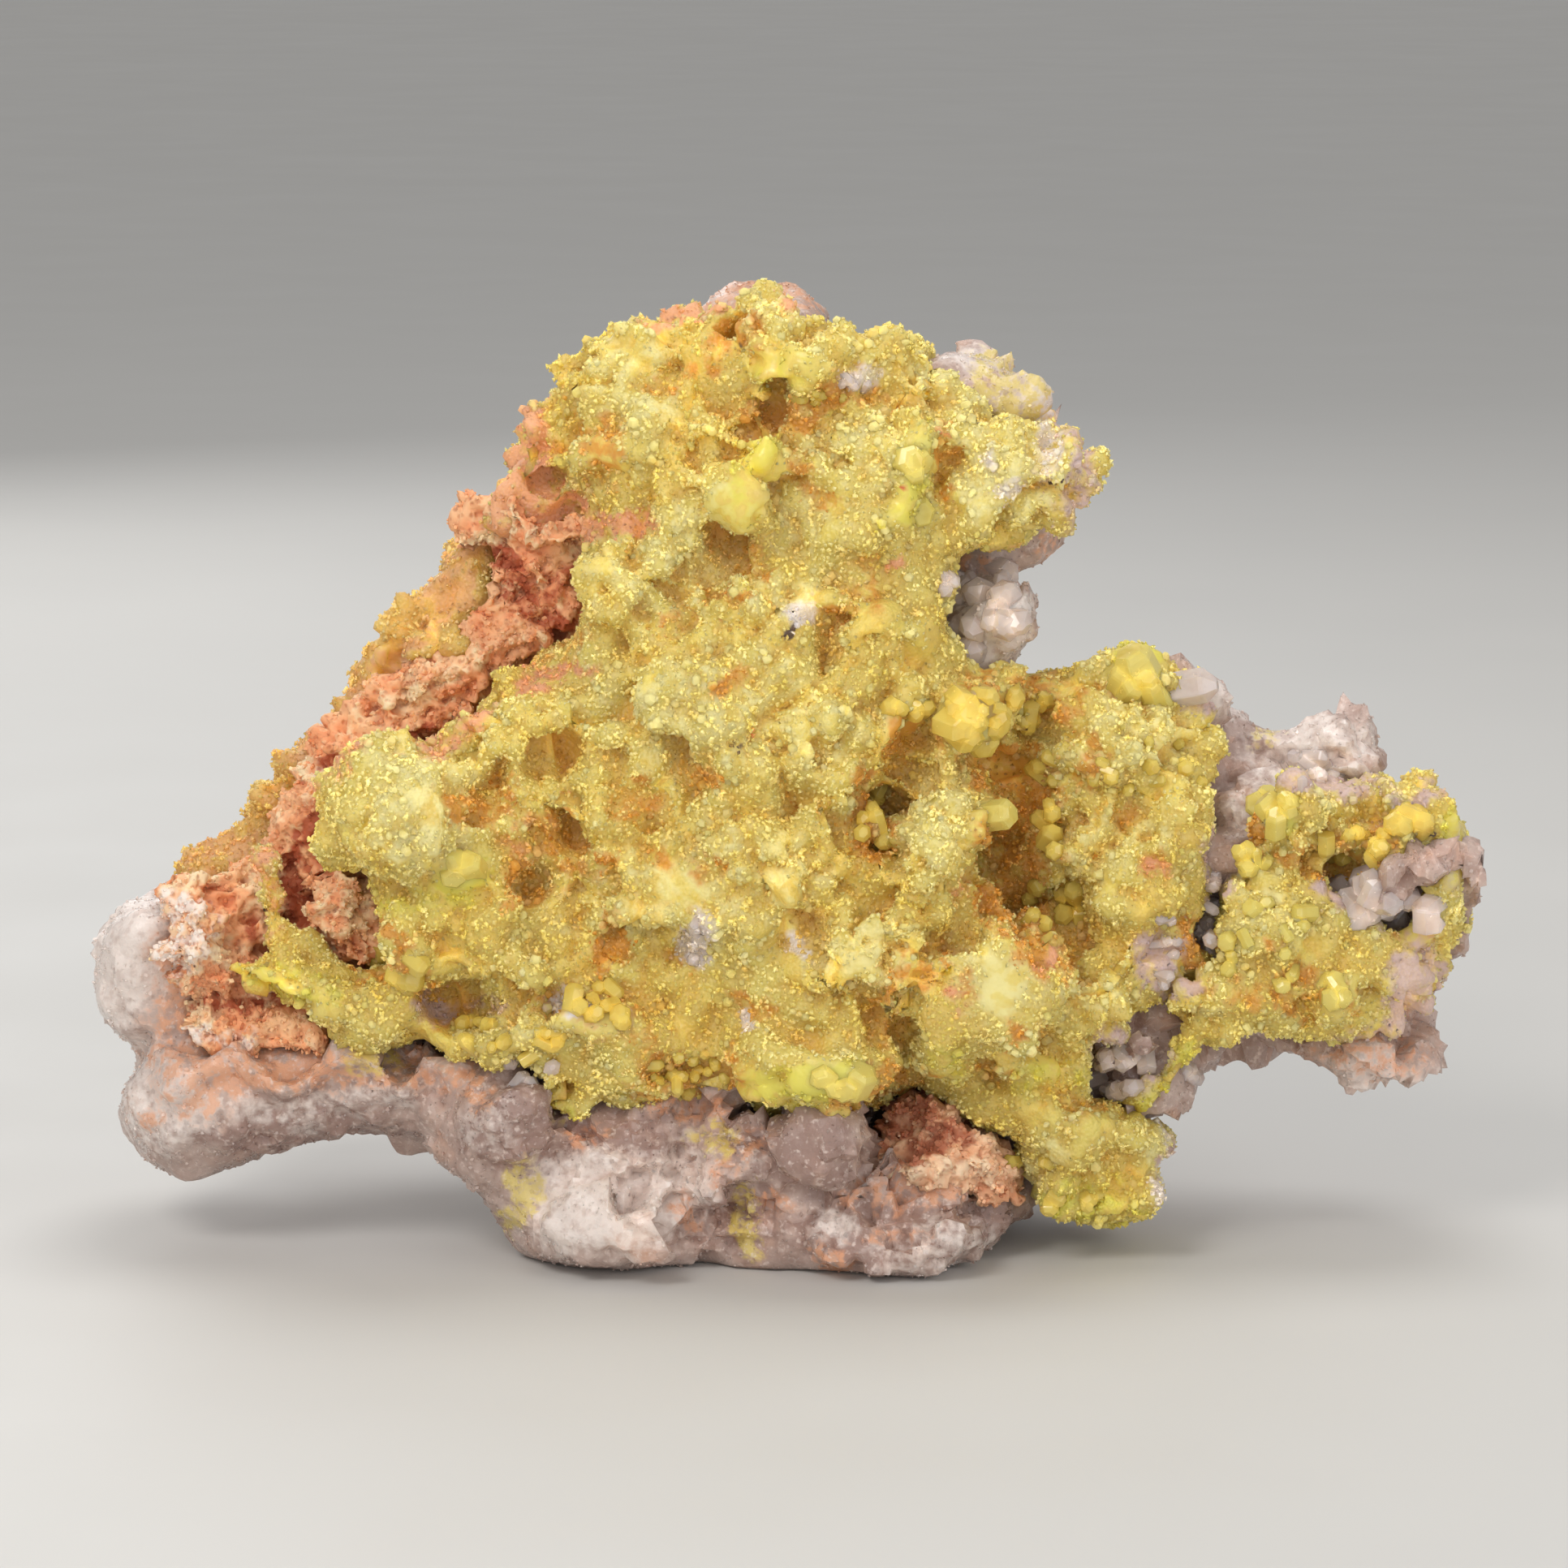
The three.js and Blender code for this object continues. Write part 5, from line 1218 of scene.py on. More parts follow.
@dataclass
class CalciteStone(MineralBody):
    """The broken calcite: flat-stepped on its back, smoother on the bar and the foot."""

    # The angle that a fold of the skin needs to stay crisp.
    CRISP = math.radians(34)
    # Where the back is thickened over the crust that lies near it: across, up, by how much and how widely.
    PLUG = (3.4, 30.5, 2.6, 7.0)

    def roughen(self, surface: Surface) -> None:
        """Breaks the stone into tilted flats, coarser behind and finer on the bar."""
        points = surface.points
        behind = fade(surface.normals[:, 1], -0.1, 0.4)
        bar = fade(points[:, 0], -9.0, -14.0) * fade(points[:, 2], 15.0, 12.0) * (1.0 - behind)
        coarse = Knots(8.0, 1.7, Habit.BLOCKY, 61).relief(points) * behind
        foot = fade(points[:, 0], -15.0, -12.0) * fade(points[:, 2], 13.0, 9.0) * (1.0 - behind)
        middle = Knots(4.2, 1.1, Habit.BLOCKY, 62).relief(points) * (1.0 - 0.3 * behind + 0.3 * foot)
        fine = Knots(1.9, 0.35, Habit.BLOCKY, 63).relief(points)
        tip = fade(points[:, 0], -30.0, -33.0) + fade(points[:, 2], 26.0, 30.0) * (1.0 - behind)
        calm = (1.0 - 0.6 * bar) * (1.0 - 0.75 * np.clip(tip, 0.0, 1.0))
        calm *= 1.0 - 0.75 * fade(points[:, 2], 3.0, 0.8)
        calm *= 1.0 - 0.65 * fade(points[:, 2], 50.5, 53.0)
        fine += Knots(0.95, 0.25, Habit.BLOCKY, 65).relief(points) * (1.0 - behind)
        across, up, thick, spread = self.PLUG
        plug = np.exp(-((points[:, 0] - across) ** 2 + (points[:, 2] - up) ** 2) / spread)
        plug = plug * fade(points[:, 1], 0.0, 4.0)
        surface.push((coarse + middle + fine) * calm + thick * plug + 0.12 * Cloud(0.8, 64).at(points))

    def build(self) -> bpy.types.Object:
        """Builds the stone and keeps the edges of its flats crisp."""
        piece = super().build()
        select_only(piece)
        bpy.ops.object.shade_smooth_by_angle(angle=self.CRISP)
        return piece


@dataclass
class PorousRock(MineralBody):
    """Iron-stained rock full of pores: each pore is a small pit with a ragged rim."""

    pore_depth: float = 0.6

    # How wide a small pore is, and how wide and deep the large and the small pores are for it.
    PORE = 0.6
    PORE_SHARES = (1.9, 1.0)

    def roughen(self, surface: Surface) -> None:
        """Sinks the pores between small crumbs."""
        points = surface.points
        crumbs = Knots(2.4, 0.45, Habit.BLOCKY, self.seed + 30).relief(points)
        crumbs += Knots(1.0, 0.3, Habit.ROUND, self.seed + 29).relief(points)
        warped = points + 0.45 * Cloud(1.2, self.seed + 31, 2).at(points)[:, None]
        holes = np.zeros(len(points))
        for number, share in enumerate(self.PORE_SHARES):
            dents = Knots(self.PORE * share, 1.0, Habit.ROUND, self.seed + 32 + number).relief(warped)
            holes += np.clip(dents + 0.05, 0.0, 1.0) * -self.pore_depth * share
        surface.push(crumbs + holes + 0.16 * Cloud(0.5, self.seed + 35).at(points))


@dataclass(frozen=True)
class GrainForm:
    """The points and triangles of one crystal, about one unit across, tip along Z."""

    points: np.ndarray
    triangles: np.ndarray

    @classmethod
    def taken_from(cls, piece: bpy.types.Object) -> "GrainForm":
        """Reads a modelled crystal and clears it away."""
        piece.data.calc_loop_triangles()
        points = numbers_of(piece.data.vertices, "co")
        triangles = numbers_of(piece.data.loop_triangles, "vertices", kind=np.int32)
        bpy.data.objects.remove(piece)
        return cls(points, triangles)


def top_selected(piece: bpy.types.Object, lowest: float) -> None:
    """Selects the faces above a height in edit mode, and nothing else."""
    bpy.ops.object.mode_set(mode="OBJECT")
    for face in piece.data.polygons:
        face.select = face.center.z > lowest
    for edge in piece.data.edges:
        edge.select = False
    for point in piece.data.vertices:
        point.select = False
    bpy.ops.object.mode_set(mode="EDIT")
    bpy.ops.mesh.select_mode(type="FACE")


def sugar_grain() -> GrainForm:
    """Models a stubby four-sided grain with a point at both ends."""
    bpy.ops.object.select_all(action="DESELECT")
    bpy.ops.mesh.primitive_cone_add(vertices=4, radius1=1.0, radius2=0.0, depth=1.2, location=(0, 0, 0.6))
    piece = bpy.context.active_object
    piece.scale = (1.0, 0.9, -1.0)
    bpy.ops.object.transform_apply(location=True, rotation=True, scale=True)
    top_selected(piece, -0.2)
    bpy.ops.mesh.extrude_region_move(TRANSFORM_OT_translate={"value": (0.1, 0.05, 1.0)})
    bpy.ops.mesh.merge(type="CENTER")
    faces_out()
    return GrainForm.taken_from(piece)


def crumb_grain() -> GrainForm:
    """Models a stubby six-sided crystal with a flat, bevelled end and a pointed foot."""
    bpy.ops.object.select_all(action="DESELECT")
    bpy.ops.mesh.primitive_cone_add(vertices=6, radius1=0.0, radius2=1.0, depth=0.8, location=(0, 0, -0.4))
    piece = bpy.context.active_object
    bpy.ops.object.transform_apply(location=True, rotation=True, scale=True)
    top_selected(piece, -0.2)
    bpy.ops.mesh.extrude_region_move(TRANSFORM_OT_translate={"value": (0.08, 0.04, 0.9)})
    bpy.ops.transform.resize(value=(0.62, 0.55, 1.0))
    faces_out()
    return GrainForm.taken_from(piece)


def rhomb_grain() -> GrainForm:
    """Models a leaning block, as calcite breaks."""
    bpy.ops.object.select_all(action="DESELECT")
    bpy.ops.mesh.primitive_cube_add(size=1.5, location=(0, 0, 0))
    piece = bpy.context.active_object
    top_selected(piece, 0.5)
    bpy.ops.transform.translate(value=(0.38, 0.22, -0.1))
    faces_out()
    return GrainForm.taken_from(piece)


def prism_crystal(neck: float, tip: float, top: float) -> GrainForm:
    """Models a six-sided crystal with a bevelled end.

    Args:
        neck: How high the bevelled end starts, as a share of the length.
        tip: The width of the flat at the very end, as a share of the crystal's width.
        top: How far the end flat is off the middle.

    Returns:
        The crystal, one unit in radius and in length, with its foot at zero.
    """
    bpy.ops.object.select_all(action="DESELECT")
    bpy.ops.mesh.primitive_cylinder_add(vertices=6, radius=1.0, depth=neck, location=(0, 0, neck / 2))
    piece = bpy.context.active_object
    bpy.ops.object.transform_apply(location=True, rotation=True, scale=True)
    top_selected(piece, neck * 0.9)
    bpy.ops.mesh.extrude_region_move(TRANSFORM_OT_translate={"value": (top, top * 0.5, 1.0 - neck)})
    bpy.ops.transform.resize(value=(tip, tip * 0.85, 1.0))
    faces_out()
    bevel = piece.modifiers.new("worn edges", "BEVEL")
    bevel.width = 0.05
    bevel.segments = 1
    bevel.limit_method = "ANGLE"
    finish_modifiers(piece)
    return GrainForm.taken_from(piece)


def crowd(name: str, form: GrainForm, frames: np.ndarray, places: np.ndarray,
          tints: dict[Tint, np.ndarray]) -> bpy.types.Object:
    """Copies a crystal to many places as one mesh.

    Args:
        name: The piece's name.
        form: The crystal.
        frames: For each copy its three sides, as columns, in millimetres.
        places: Where each copy stands, in millimetres.
        tints: For each stain one number for each copy.

    Returns:
        The new piece, at the origin.
    """
    count = len(places)
    each = len(form.points)
    points = np.einsum("nij,kj->nki", frames, form.points) + places[:, None, :]
    points[:, :, 2] = np.maximum(points[:, :, 2], 0.0)
    faces = form.triangles[None, :, :] + (np.arange(count) * each)[:, None, None]
    mesh = bpy.data.meshes.new(name)
    mesh.vertices.add(count * each)
    mesh.vertices.foreach_set("co", (points * MM).astype(np.float32).ravel())
    mesh.loops.add(faces.size)
    mesh.loops.foreach_set("vertex_index", faces.astype(np.int32).ravel())
    mesh.polygons.add(faces.size // 3)
    mesh.polygons.foreach_set("loop_start", np.arange(0, faces.size, 3, dtype=np.int32))
    mesh.update(calc_edges=True)
    for tint, values in tints.items():
        note_tint(mesh, tint, np.repeat(values, each))
    piece = bpy.data.objects.new(name, mesh)
    bpy.context.scene.collection.objects.link(piece)
    return piece


def frames_about(axes: np.ndarray, across: np.ndarray, length: np.ndarray, spins: np.ndarray,
                 squash: np.ndarray) -> np.ndarray:
    """Turns directions, sizes and spins into the three sides of each crystal.

    Args:
        axes: The direction of each crystal.
        across: Its radius.
        length: Its length.
        spins: Its turn about its own axis.
        squash: Its second radius, as a share of the first.

    Returns:
        The sides as columns, one frame for each crystal.
    """
    axes = axes / np.linalg.norm(axes, axis=1)[:, None]
    helper = np.where(np.abs(axes[:, 2:3]) < 0.8, np.array([[0.0, 0.0, 1.0]]), np.array([[1.0, 0.0, 0.0]]))
    side = np.cross(helper, axes)
    side /= np.linalg.norm(side, axis=1)[:, None]
    other = np.cross(axes, side)
    first = side * np.cos(spins)[:, None] + other * np.sin(spins)[:, None]
    second = np.cross(axes, first)
    columns = [first * across[:, None], second * (across * squash)[:, None], axes * length[:, None]]
    return np.stack(columns, axis=2)


class Shelter:
    """Knows which places are covered by a neighbouring body or a close wall."""

    # How far off the skin a look starts, and how deep inside a neighbour a place may lie.
    LIFT = 0.03
    NEAR = 1.5

    def __init__(self, pieces: Iterable[bpy.types.Object]) -> None:
        """Reads the finished bodies."""
        graph = bpy.context.evaluated_depsgraph_get()
        graph.update()
        self.trees = [(piece, BVHTree.FromObject(piece, graph)) for piece in pieces]

    def open(self, own: bpy.types.Object, place: np.ndarray, normal: np.ndarray, reach: float) -> bool:
        """Tells whether a place on a body has open air over it.

        Args:
            own: The body that the place is on.
            place: The place, in millimetres.
            normal: Its outward direction.
            reach: How far the air must be open.

        Returns:
            True where nothing covers it.
        """
        start = Vector(place * MM) + Vector(normal) * self.LIFT * MM
        way = Vector(normal)
        for piece, tree in self.trees:
            hit, _, _, _ = tree.ray_cast(start, way, reach * MM)
            if hit is not None:
                return False
            if piece is not own:
                near, out, _, _ = tree.find_nearest(start, self.NEAR * MM)
                if near is not None and (start - near).dot(out) < 0.0:
                    return False
        return True

    def seen_from_front(self, across: float, up: float) -> tuple[np.ndarray, np.ndarray] | None:
        """Finds what the viewer sees at a place on the front.

        Args:
            across: The place across the front.
            up: The place up the front.

        Returns:
            The point and its outward direction, or nothing where the view goes past.
        """
        eye, line = VIEW.sight(across, up)
        nearest = None
        for _, tree in self.trees:
            hit, normal, _, distance = tree.ray_cast(Vector(eye * MM), Vector(line))
            if hit is not None and (nearest is None or distance < nearest[2]):
                nearest = (np.array(hit) / MM, np.array(normal), distance)
        return None if nearest is None else nearest[:2]


@dataclass
class Druse:
    """A coat of small crystals, half sunk into the body that they grow on."""

    name: str
    body: MineralBody
    form: GrainForm
    spacing: float
    spacing_behind: float
    least: float
    most: float
    parts: int = 1
    flat: bool = False
    proud: float = 0.25
    lean: float = 0.8
    bare: float = 0.0
    seed: int = 3

    # The length of a grain for its radius, and how many places are tried for each one taken.
    STUBBY = 0.95
    TRIES = 3.0

    def sites(self) -> tuple[np.ndarray, np.ndarray, np.ndarray]:
        """Chooses evenly spread places on the open skin, closer together in front and none on waxy lumps.

        Returns:
            The places, their outward directions, and the nearest point of the skin to each.
        """
        surface = self.body.surface
        chance = np.random.default_rng(self.seed)
        triangles = surface.triangles()
        corners = surface.points[triangles]
        area = np.linalg.norm(np.cross(corners[:, 1] - corners[:, 0], corners[:, 2] - corners[:, 0]), axis=1) / 2
        front = fade(surface.facing()[triangles[:, 0]], -0.1, 0.3)
        spacing = self.spacing + (self.spacing_behind - self.spacing) * (1.0 - front)
        many = int((area * self.TRIES / spacing**2).sum())
        weight = area / spacing**2
        drawn = chance.choice(len(triangles), many, p=weight / weight.sum())
        first, second = chance.random((2, many))
        flip = first + second > 1.0
        first = np.where(flip, 1.0 - first, first)
        second = np.where(flip, 1.0 - second, second)
        own = corners[drawn]
        places = own[:, 0] + first[:, None] * (own[:, 1] - own[:, 0]) + second[:, None] * (own[:, 2] - own[:, 0])
        keys = np.floor(places / spacing[drawn][:, None] + chance.random(3)).astype(np.int64)
        _, chosen = np.unique(keys, axis=0, return_index=True)
        if self.bare > 0.0:
            cover = Cloud(2.2, self.seed + 50, 3).at(places[chosen])
            chosen = chosen[cover > self.bare * 2.0 - 1.0]
        nearest = triangles[drawn, 0]
        grown = self.body.bare[nearest]
        if Tint.WAXY.value in surface.mesh.attributes:
            smooth = surface.noted(Tint.WAXY) + 0.9 * surface.noted(Tint.MAUVE) + 0.8 * surface.noted(Tint.SALMON)
            grown &= smooth[nearest] < 0.35 + 0.5 * chance.random(many)
        kept = chosen[grown[chosen]]
        return places[kept], surface.normals[nearest[kept]], nearest[kept]

    def build(self) -> list[bpy.types.Object]:
        """Grows the coat.

        Returns:
            The pieces of the coat, from left to right.
        """
        surface = self.body.surface
        places, normals, nearest = self.sites()
        order = np.argsort(places[:, 0])
        places, normals, nearest = places[order], normals[order], nearest[order]
        chance = np.random.default_rng(self.seed + 1)
        count = len(places)
        axes = normals + self.lean * chance.normal(size=(count, 3))
        radius = self.least + (self.most - self.least) * chance.random(count) ** 2
        length = radius * self.STUBBY * (0.8 + 0.5 * chance.random(count))
        frames = frames_about(axes, radius, length, chance.random(count) * SPIN, 0.75 + 0.25 * chance.random(count))
        places = places + normals * (radius * self.proud)[:, None]
        # Each grain takes the stains, painted light and painted shade of the skin under it, and a tone of its own.
        tints = {tint: surface.noted(tint)[nearest] for tint in Tint if tint.value in surface.mesh.attributes}
        tints[Tint.TONE] = chance.random(count)
        material = replace(self.body.finish, name=f"{self.name}_grains", grainy=True).material()
        pieces = []
        for part, share in enumerate(np.array_split(np.arange(count), self.parts)):
            own = {tint: values[share] for tint, values in tints.items()}
            piece = crowd(f"{self.name}_{part + 1}", self.form, frames[share], places[share], own)
            if self.flat:
                piece.data.shade_flat()
            piece.data.materials.append(material)
            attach(piece, "root")
            pieces.append(piece)
        return pieces


@dataclass(frozen=True)
class ClearFinish:
    """Clear to cloudy crystal, faintly coloured."""

    name: str
    colour: Colour
    cloudy: Colour
    clear: float
    index: float = 1.49
    rough: float = 0.08

    def material(self) -> bpy.types.Material:
        """Builds the finish."""
        bench = Bench(self.name)
        haze = bench.spread(bench.noise(0.9, 51, 4.0), 0.45, 0.7)
        colour = bench.blend(haze, self.colour, self.cloudy)
        bench.feed(bench.shader, {"IOR": self.index, "Transmission Weight": self.clear})
        bench.glow(0.8, (1.0, 0.8, 0.5), 1.2)
        roughness = bench.spread(bench.noise(0.5, 52), 0.4, 0.7, self.rough, self.rough + 0.2)
        return bench.done(colour, roughness, bench.bump(bench.noise(0.4, 53), 0.1, 0.02))


@dataclass(frozen=True)
class Cluster:
    """A group of larger crystals within an oval of the front."""

    across: float
    up: float
    wide: float
    high: float
    count: int
    radius: float
    length: float
    lean: float = 0.5
    side: float = 0.0
    rise: float = 0.0
    sunk: float = 0.6


@dataclass
class CrystalGroups:
    """Larger crystals that grow out of the bodies where the front shows them."""

    name: str
    slot: str
    form: GrainForm
    finish: ClearFinish
    clusters: tuple[Cluster, ...]
    seed: int

    def build(self, shelter: Shelter) -> bpy.types.Object:
        """Sets every crystal on what the viewer sees at its place.

        Args:
            shelter: The bodies to set them on.

        Returns:
            The finished piece.
        """
        chance = np.random.default_rng(self.seed)
        places, axes, radii, lengths = [], [], [], []
        for cluster in self.clusters:
            for _ in range(cluster.count):
                angle = chance.random() * 2 * math.pi
                out = math.sqrt(chance.random()) if cluster.count > 1 else 0.0
                across = cluster.across + cluster.wide * out * math.cos(angle)
                up = cluster.up + cluster.high * out * math.sin(angle)
                found = shelter.seen_from_front(across, up)
                if found is None:
                    continue
                size = 0.7 + 0.5 * chance.random() if cluster.count > 1 else 1.0
                way = found[1] + cluster.lean * chance.normal(size=3) + np.array([cluster.side, 0.0, cluster.rise])
                way /= np.linalg.norm(way)
                places.append(found[0] - way * cluster.length * size * cluster.sunk)
                axes.append(way)
                radii.append(cluster.radius * size)
                lengths.append(cluster.length * size)
        count = len(places)
        frames = frames_about(np.array(axes), np.array(radii), np.array(lengths), chance.random(count) * SPIN,
                              0.8 + 0.2 * chance.random(count))
        piece = crowd(self.name, self.form, frames, np.array(places), {})
        piece.data.shade_flat()
        piece.data.materials.append(self.finish.material())
        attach(piece, "root")
        return piece


@dataclass(frozen=True)
class FloorFinish:
    """Plain pale floor, a little uneven in its gloss."""

    name: str = "pale_floor"
    colour: Colour = paint(214, 212, 208)
    worn: Colour = paint(204, 202, 198)

    def material(self) -> bpy.types.Material:
        """Builds the finish."""
        bench = Bench(self.name)
        tone = bench.veiled(self.colour, bench.noise(60.0, 71), 0.3, 0.7, 0.15, self.worn)
        return bench.done(tone, bench.spread(bench.noise(20.0, 72), 0.3, 0.7, 0.55, 0.7))


@dataclass(frozen=True)
class SoftLight:
    """One soft lamp: where it stands, how wide it is and how bright, in millimetres and watts."""

    name: str
    place: tuple[float, float, float]
    size: float
    power: float
    colour: tuple[float, float, float] = (1.0, 1.0, 1.0)

    def build(self, aim: Vector) -> None:
        """Hangs the lamp and turns it to the specimen."""
        bpy.ops.object.light_add(type="AREA", location=Vector(self.place) * MM)
        lamp = bpy.context.active_object
        lamp.name = self.name
        lamp.data.shape = "DISK"
        lamp.data.size = self.size * MM
        lamp.data.energy = self.power
        lamp.data.color = self.colour
        lamp.rotation_euler = (aim - lamp.location).to_track_quat("-Z", "Y").to_euler()


@dataclass
class Studio:
    """Floor, soft lights and the camera at the front."""

    floor_size: float = 8000.0
    lights: tuple[SoftLight, ...] = (
        SoftLight("key_light", (-150.0, -250.0, 270.0), 150.0, 0.5, (1.0, 0.98, 0.95)),
        SoftLight("fill_light", (260.0, -240.0, 140.0), 240.0, 0.25, (0.97, 0.98, 1.0)),
        SoftLight("front_light", (-20.0, -340.0, 90.0), 260.0, 0.2),
        SoftLight("top_light", (20.0, 60.0, 340.0), 180.0, 0.35),
        SoftLight("back_light", (-120.0, 300.0, 160.0), 200.0, 0.2),
    )
    sky: Colour = paint(206, 206, 206)
    sky_strength: float = 0.7

    def build(self) -> None:
        """Sets up floor, world, lights and camera."""
        bpy.ops.mesh.primitive_plane_add(size=self.floor_size * MM, location=(0, 0, 0))
        floor = bpy.context.active_object
        floor.name = "floor"
        floor.data.materials.append(FloorFinish().material())
        world = bpy.data.worlds.new("soft_room")
        world.use_nodes = True
        world.node_tree.nodes["Background"].inputs["Color"].default_value = self.sky
        world.node_tree.nodes["Background"].inputs["Strength"].default_value = self.sky_strength
        bpy.context.scene.world = world
        aim = Vector((0.0, 0.0, VIEW.aim * MM))
        for light in self.lights:
            light.build(aim)
        camera_data = bpy.data.cameras.new("front_camera")
        camera_data.lens = VIEW.lens
        camera_data.clip_start = 0.02
        camera = bpy.data.objects.new("front_camera", camera_data)
        bpy.context.scene.collection.objects.link(camera)
        camera.location = aim - Vector(VIEW.along()) * VIEW.distance * MM
        camera.rotation_euler = Vector(VIEW.along()).to_track_quat("-Z", "Y").to_euler()
        bpy.context.scene.camera = camera
        paths = bpy.context.scene.cycles
        paths.max_bounces = 8
        paths.diffuse_bounces = 3
        paths.glossy_bounces = 2
        paths.transmission_bounces = 6
        bpy.context.scene.view_settings.view_transform = "Standard"


@dataclass
class Specimen:
    """The whole stone: its bodies, their coats of small crystals and the larger crystals."""

    bodies: list[MineralBody] = field(default_factory=list)

    def build_bodies(self) -> list[bpy.types.Object]:
        """Builds the mineral bodies, stone first."""
        ochre = EttringiteFinish(name="slope_ettringite", honey=paint(226, 172, 96), yellow=paint(228, 194, 104),
                                 straw=paint(238, 212, 140), ochre=paint(216, 156, 84), salmon=paint(226, 172, 114))
        toe = StainedRockFinish(name="toe_rock", salmon=paint(244, 198, 162), rust=paint(236, 172, 134),
                                deep=paint(188, 120, 92), cream=paint(246, 216, 184))
        lobe = EttringiteFinish(name="lobe_ettringite")
        self.bodies = [
            CalciteStone("calcite_stone", "calcite_rock", "calcite", 0.42, CalciteFinish(), CALCITE_RELIEF,
                         STONE_STAINS_AND_PAINTED_SHADE, smoothing=5, seed=1, ragged=1.1),
            MineralBody("ettringite_main_crust", "yellow_face_crust", "ettringite", 0.36, EttringiteFinish(),
                        CRUST_RELIEF, CRUST_STAINS_AND_PAINTED_LIGHT, KNOBBLY, 8, 2),
            MineralBody("ettringite_right_crust", "yellow_lobe_crust", "ettringite", 0.3, lobe,
                        RIGHT_RELIEF, CRUST_STAINS_AND_PAINTED_LIGHT, SMALL_KNOTS, 5, 3),
            MineralBody("ettringite_slope_crust", "ochre_slope_crust", "ochre_crust", 0.3, ochre,
                        SLOPE_RELIEF, CRUST_STAINS_AND_PAINTED_LIGHT, SMALL_KNOTS, 5, 4),
            PorousRock("stained_porous_band", "salmon_band_rock", "porous_rock", 0.24, StainedRockFinish(),
                       BAND_RELIEF, ROCK_STAINS_AND_PAINTED_SHADE, smoothing=5, seed=5),
            PorousRock("stained_porous_pocket", "salmon_toe_rock", "porous_rock", 0.24, toe,
                       POCKET_RELIEF, ROCK_STAINS_AND_PAINTED_SHADE, smoothing=4, seed=6, pore_depth=0.7),
        ]
        pieces = []
        for body in self.bodies:
            piece = body.build()
            LOG.info("%s: %d points", piece.name, len(piece.data.vertices))
            pieces.append(piece)
        return pieces

    def build_crystals(self, pieces: list[bpy.types.Object]) -> None:
        """Grows the small and the larger crystals over the bodies.

        Args:
            pieces: The finished bodies.
        """
        shelter = Shelter(pieces)
        stone, face, lobe, slope, band, toe = self.bodies
        sugar = sugar_grain()
        crumb = crumb_grain()
        block = rhomb_grain()
        coats = (
            Druse("face_sugar", face, sugar, 0.281, 0.48, 0.11, 0.22, 3, proud=-0.34, bare=0.15, seed=31),
            Druse("lobe_sugar", lobe, sugar, 0.275, 0.4, 0.11, 0.22, proud=-0.34, bare=0.1, seed=32),
            Druse("slope_sugar", slope, sugar, 0.3, 0.4, 0.11, 0.22, proud=-0.1, bare=0.2, seed=33),
            Druse("face_crumbs", face, crumb, 1.2, 1.6, 0.24, 0.42, flat=True, proud=-0.2, lean=0.5, bare=0.6, seed=37),
            Druse("lobe_crumbs", lobe, crumb, 1.2, 1.4, 0.24, 0.42, flat=True, proud=-0.2, lean=0.5, bare=0.5, seed=38),
            Druse("stone_sparkle", stone, sugar, 0.48, 1.3, 0.06, 0.17, flat=True, proud=-0.35, bare=0.4, seed=34),
            Druse("band_crumbs", band, block, 0.42, 0.7, 0.07, 0.17, flat=True, bare=0.35, seed=35),
            Druse("toe_crumbs", toe, block, 0.4, 0.6, 0.09, 0.18, flat=True, bare=0.4, seed=36),
        )
        for body in self.bodies:
            body.look_round(shelter)
        for coat in coats:
            for piece in coat.build():
                LOG.info("%s: %d triangles", piece.name, len(piece.data.polygons))
        glass = ClearFinish("clear_calcite", paint(246, 232, 226), paint(232, 212, 204), 0.4)
        lemon = ClearFinish("clear_ettringite", paint(238, 220, 120), paint(230, 206, 100), 0.2)
        honey = ClearFinish("honey_ettringite", paint(238, 212, 106), paint(230, 196, 88), 0.2)
        groups = (
            CrystalGroups("calcite_crystals", "calcite", prism_crystal(0.8, 0.35, 0.1), glass, CALCITE_CRYSTALS, 41),
            CrystalGroups("yellow_crystals", "ettringite", prism_crystal(0.86, 0.75, 0.04), lemon, YELLOW_CRYSTALS, 42),
            CrystalGroups("honey_crystals", "ettringite", prism_crystal(0.8, 0.6, 0.06), honey, HONEY_CRYSTALS, 43),
        )
        for group in groups:
            piece = group.build(shelter)
            LOG.info("%s: %d triangles", piece.name, len(piece.data.polygons))
        for body in self.bodies:
            body.thin_out()


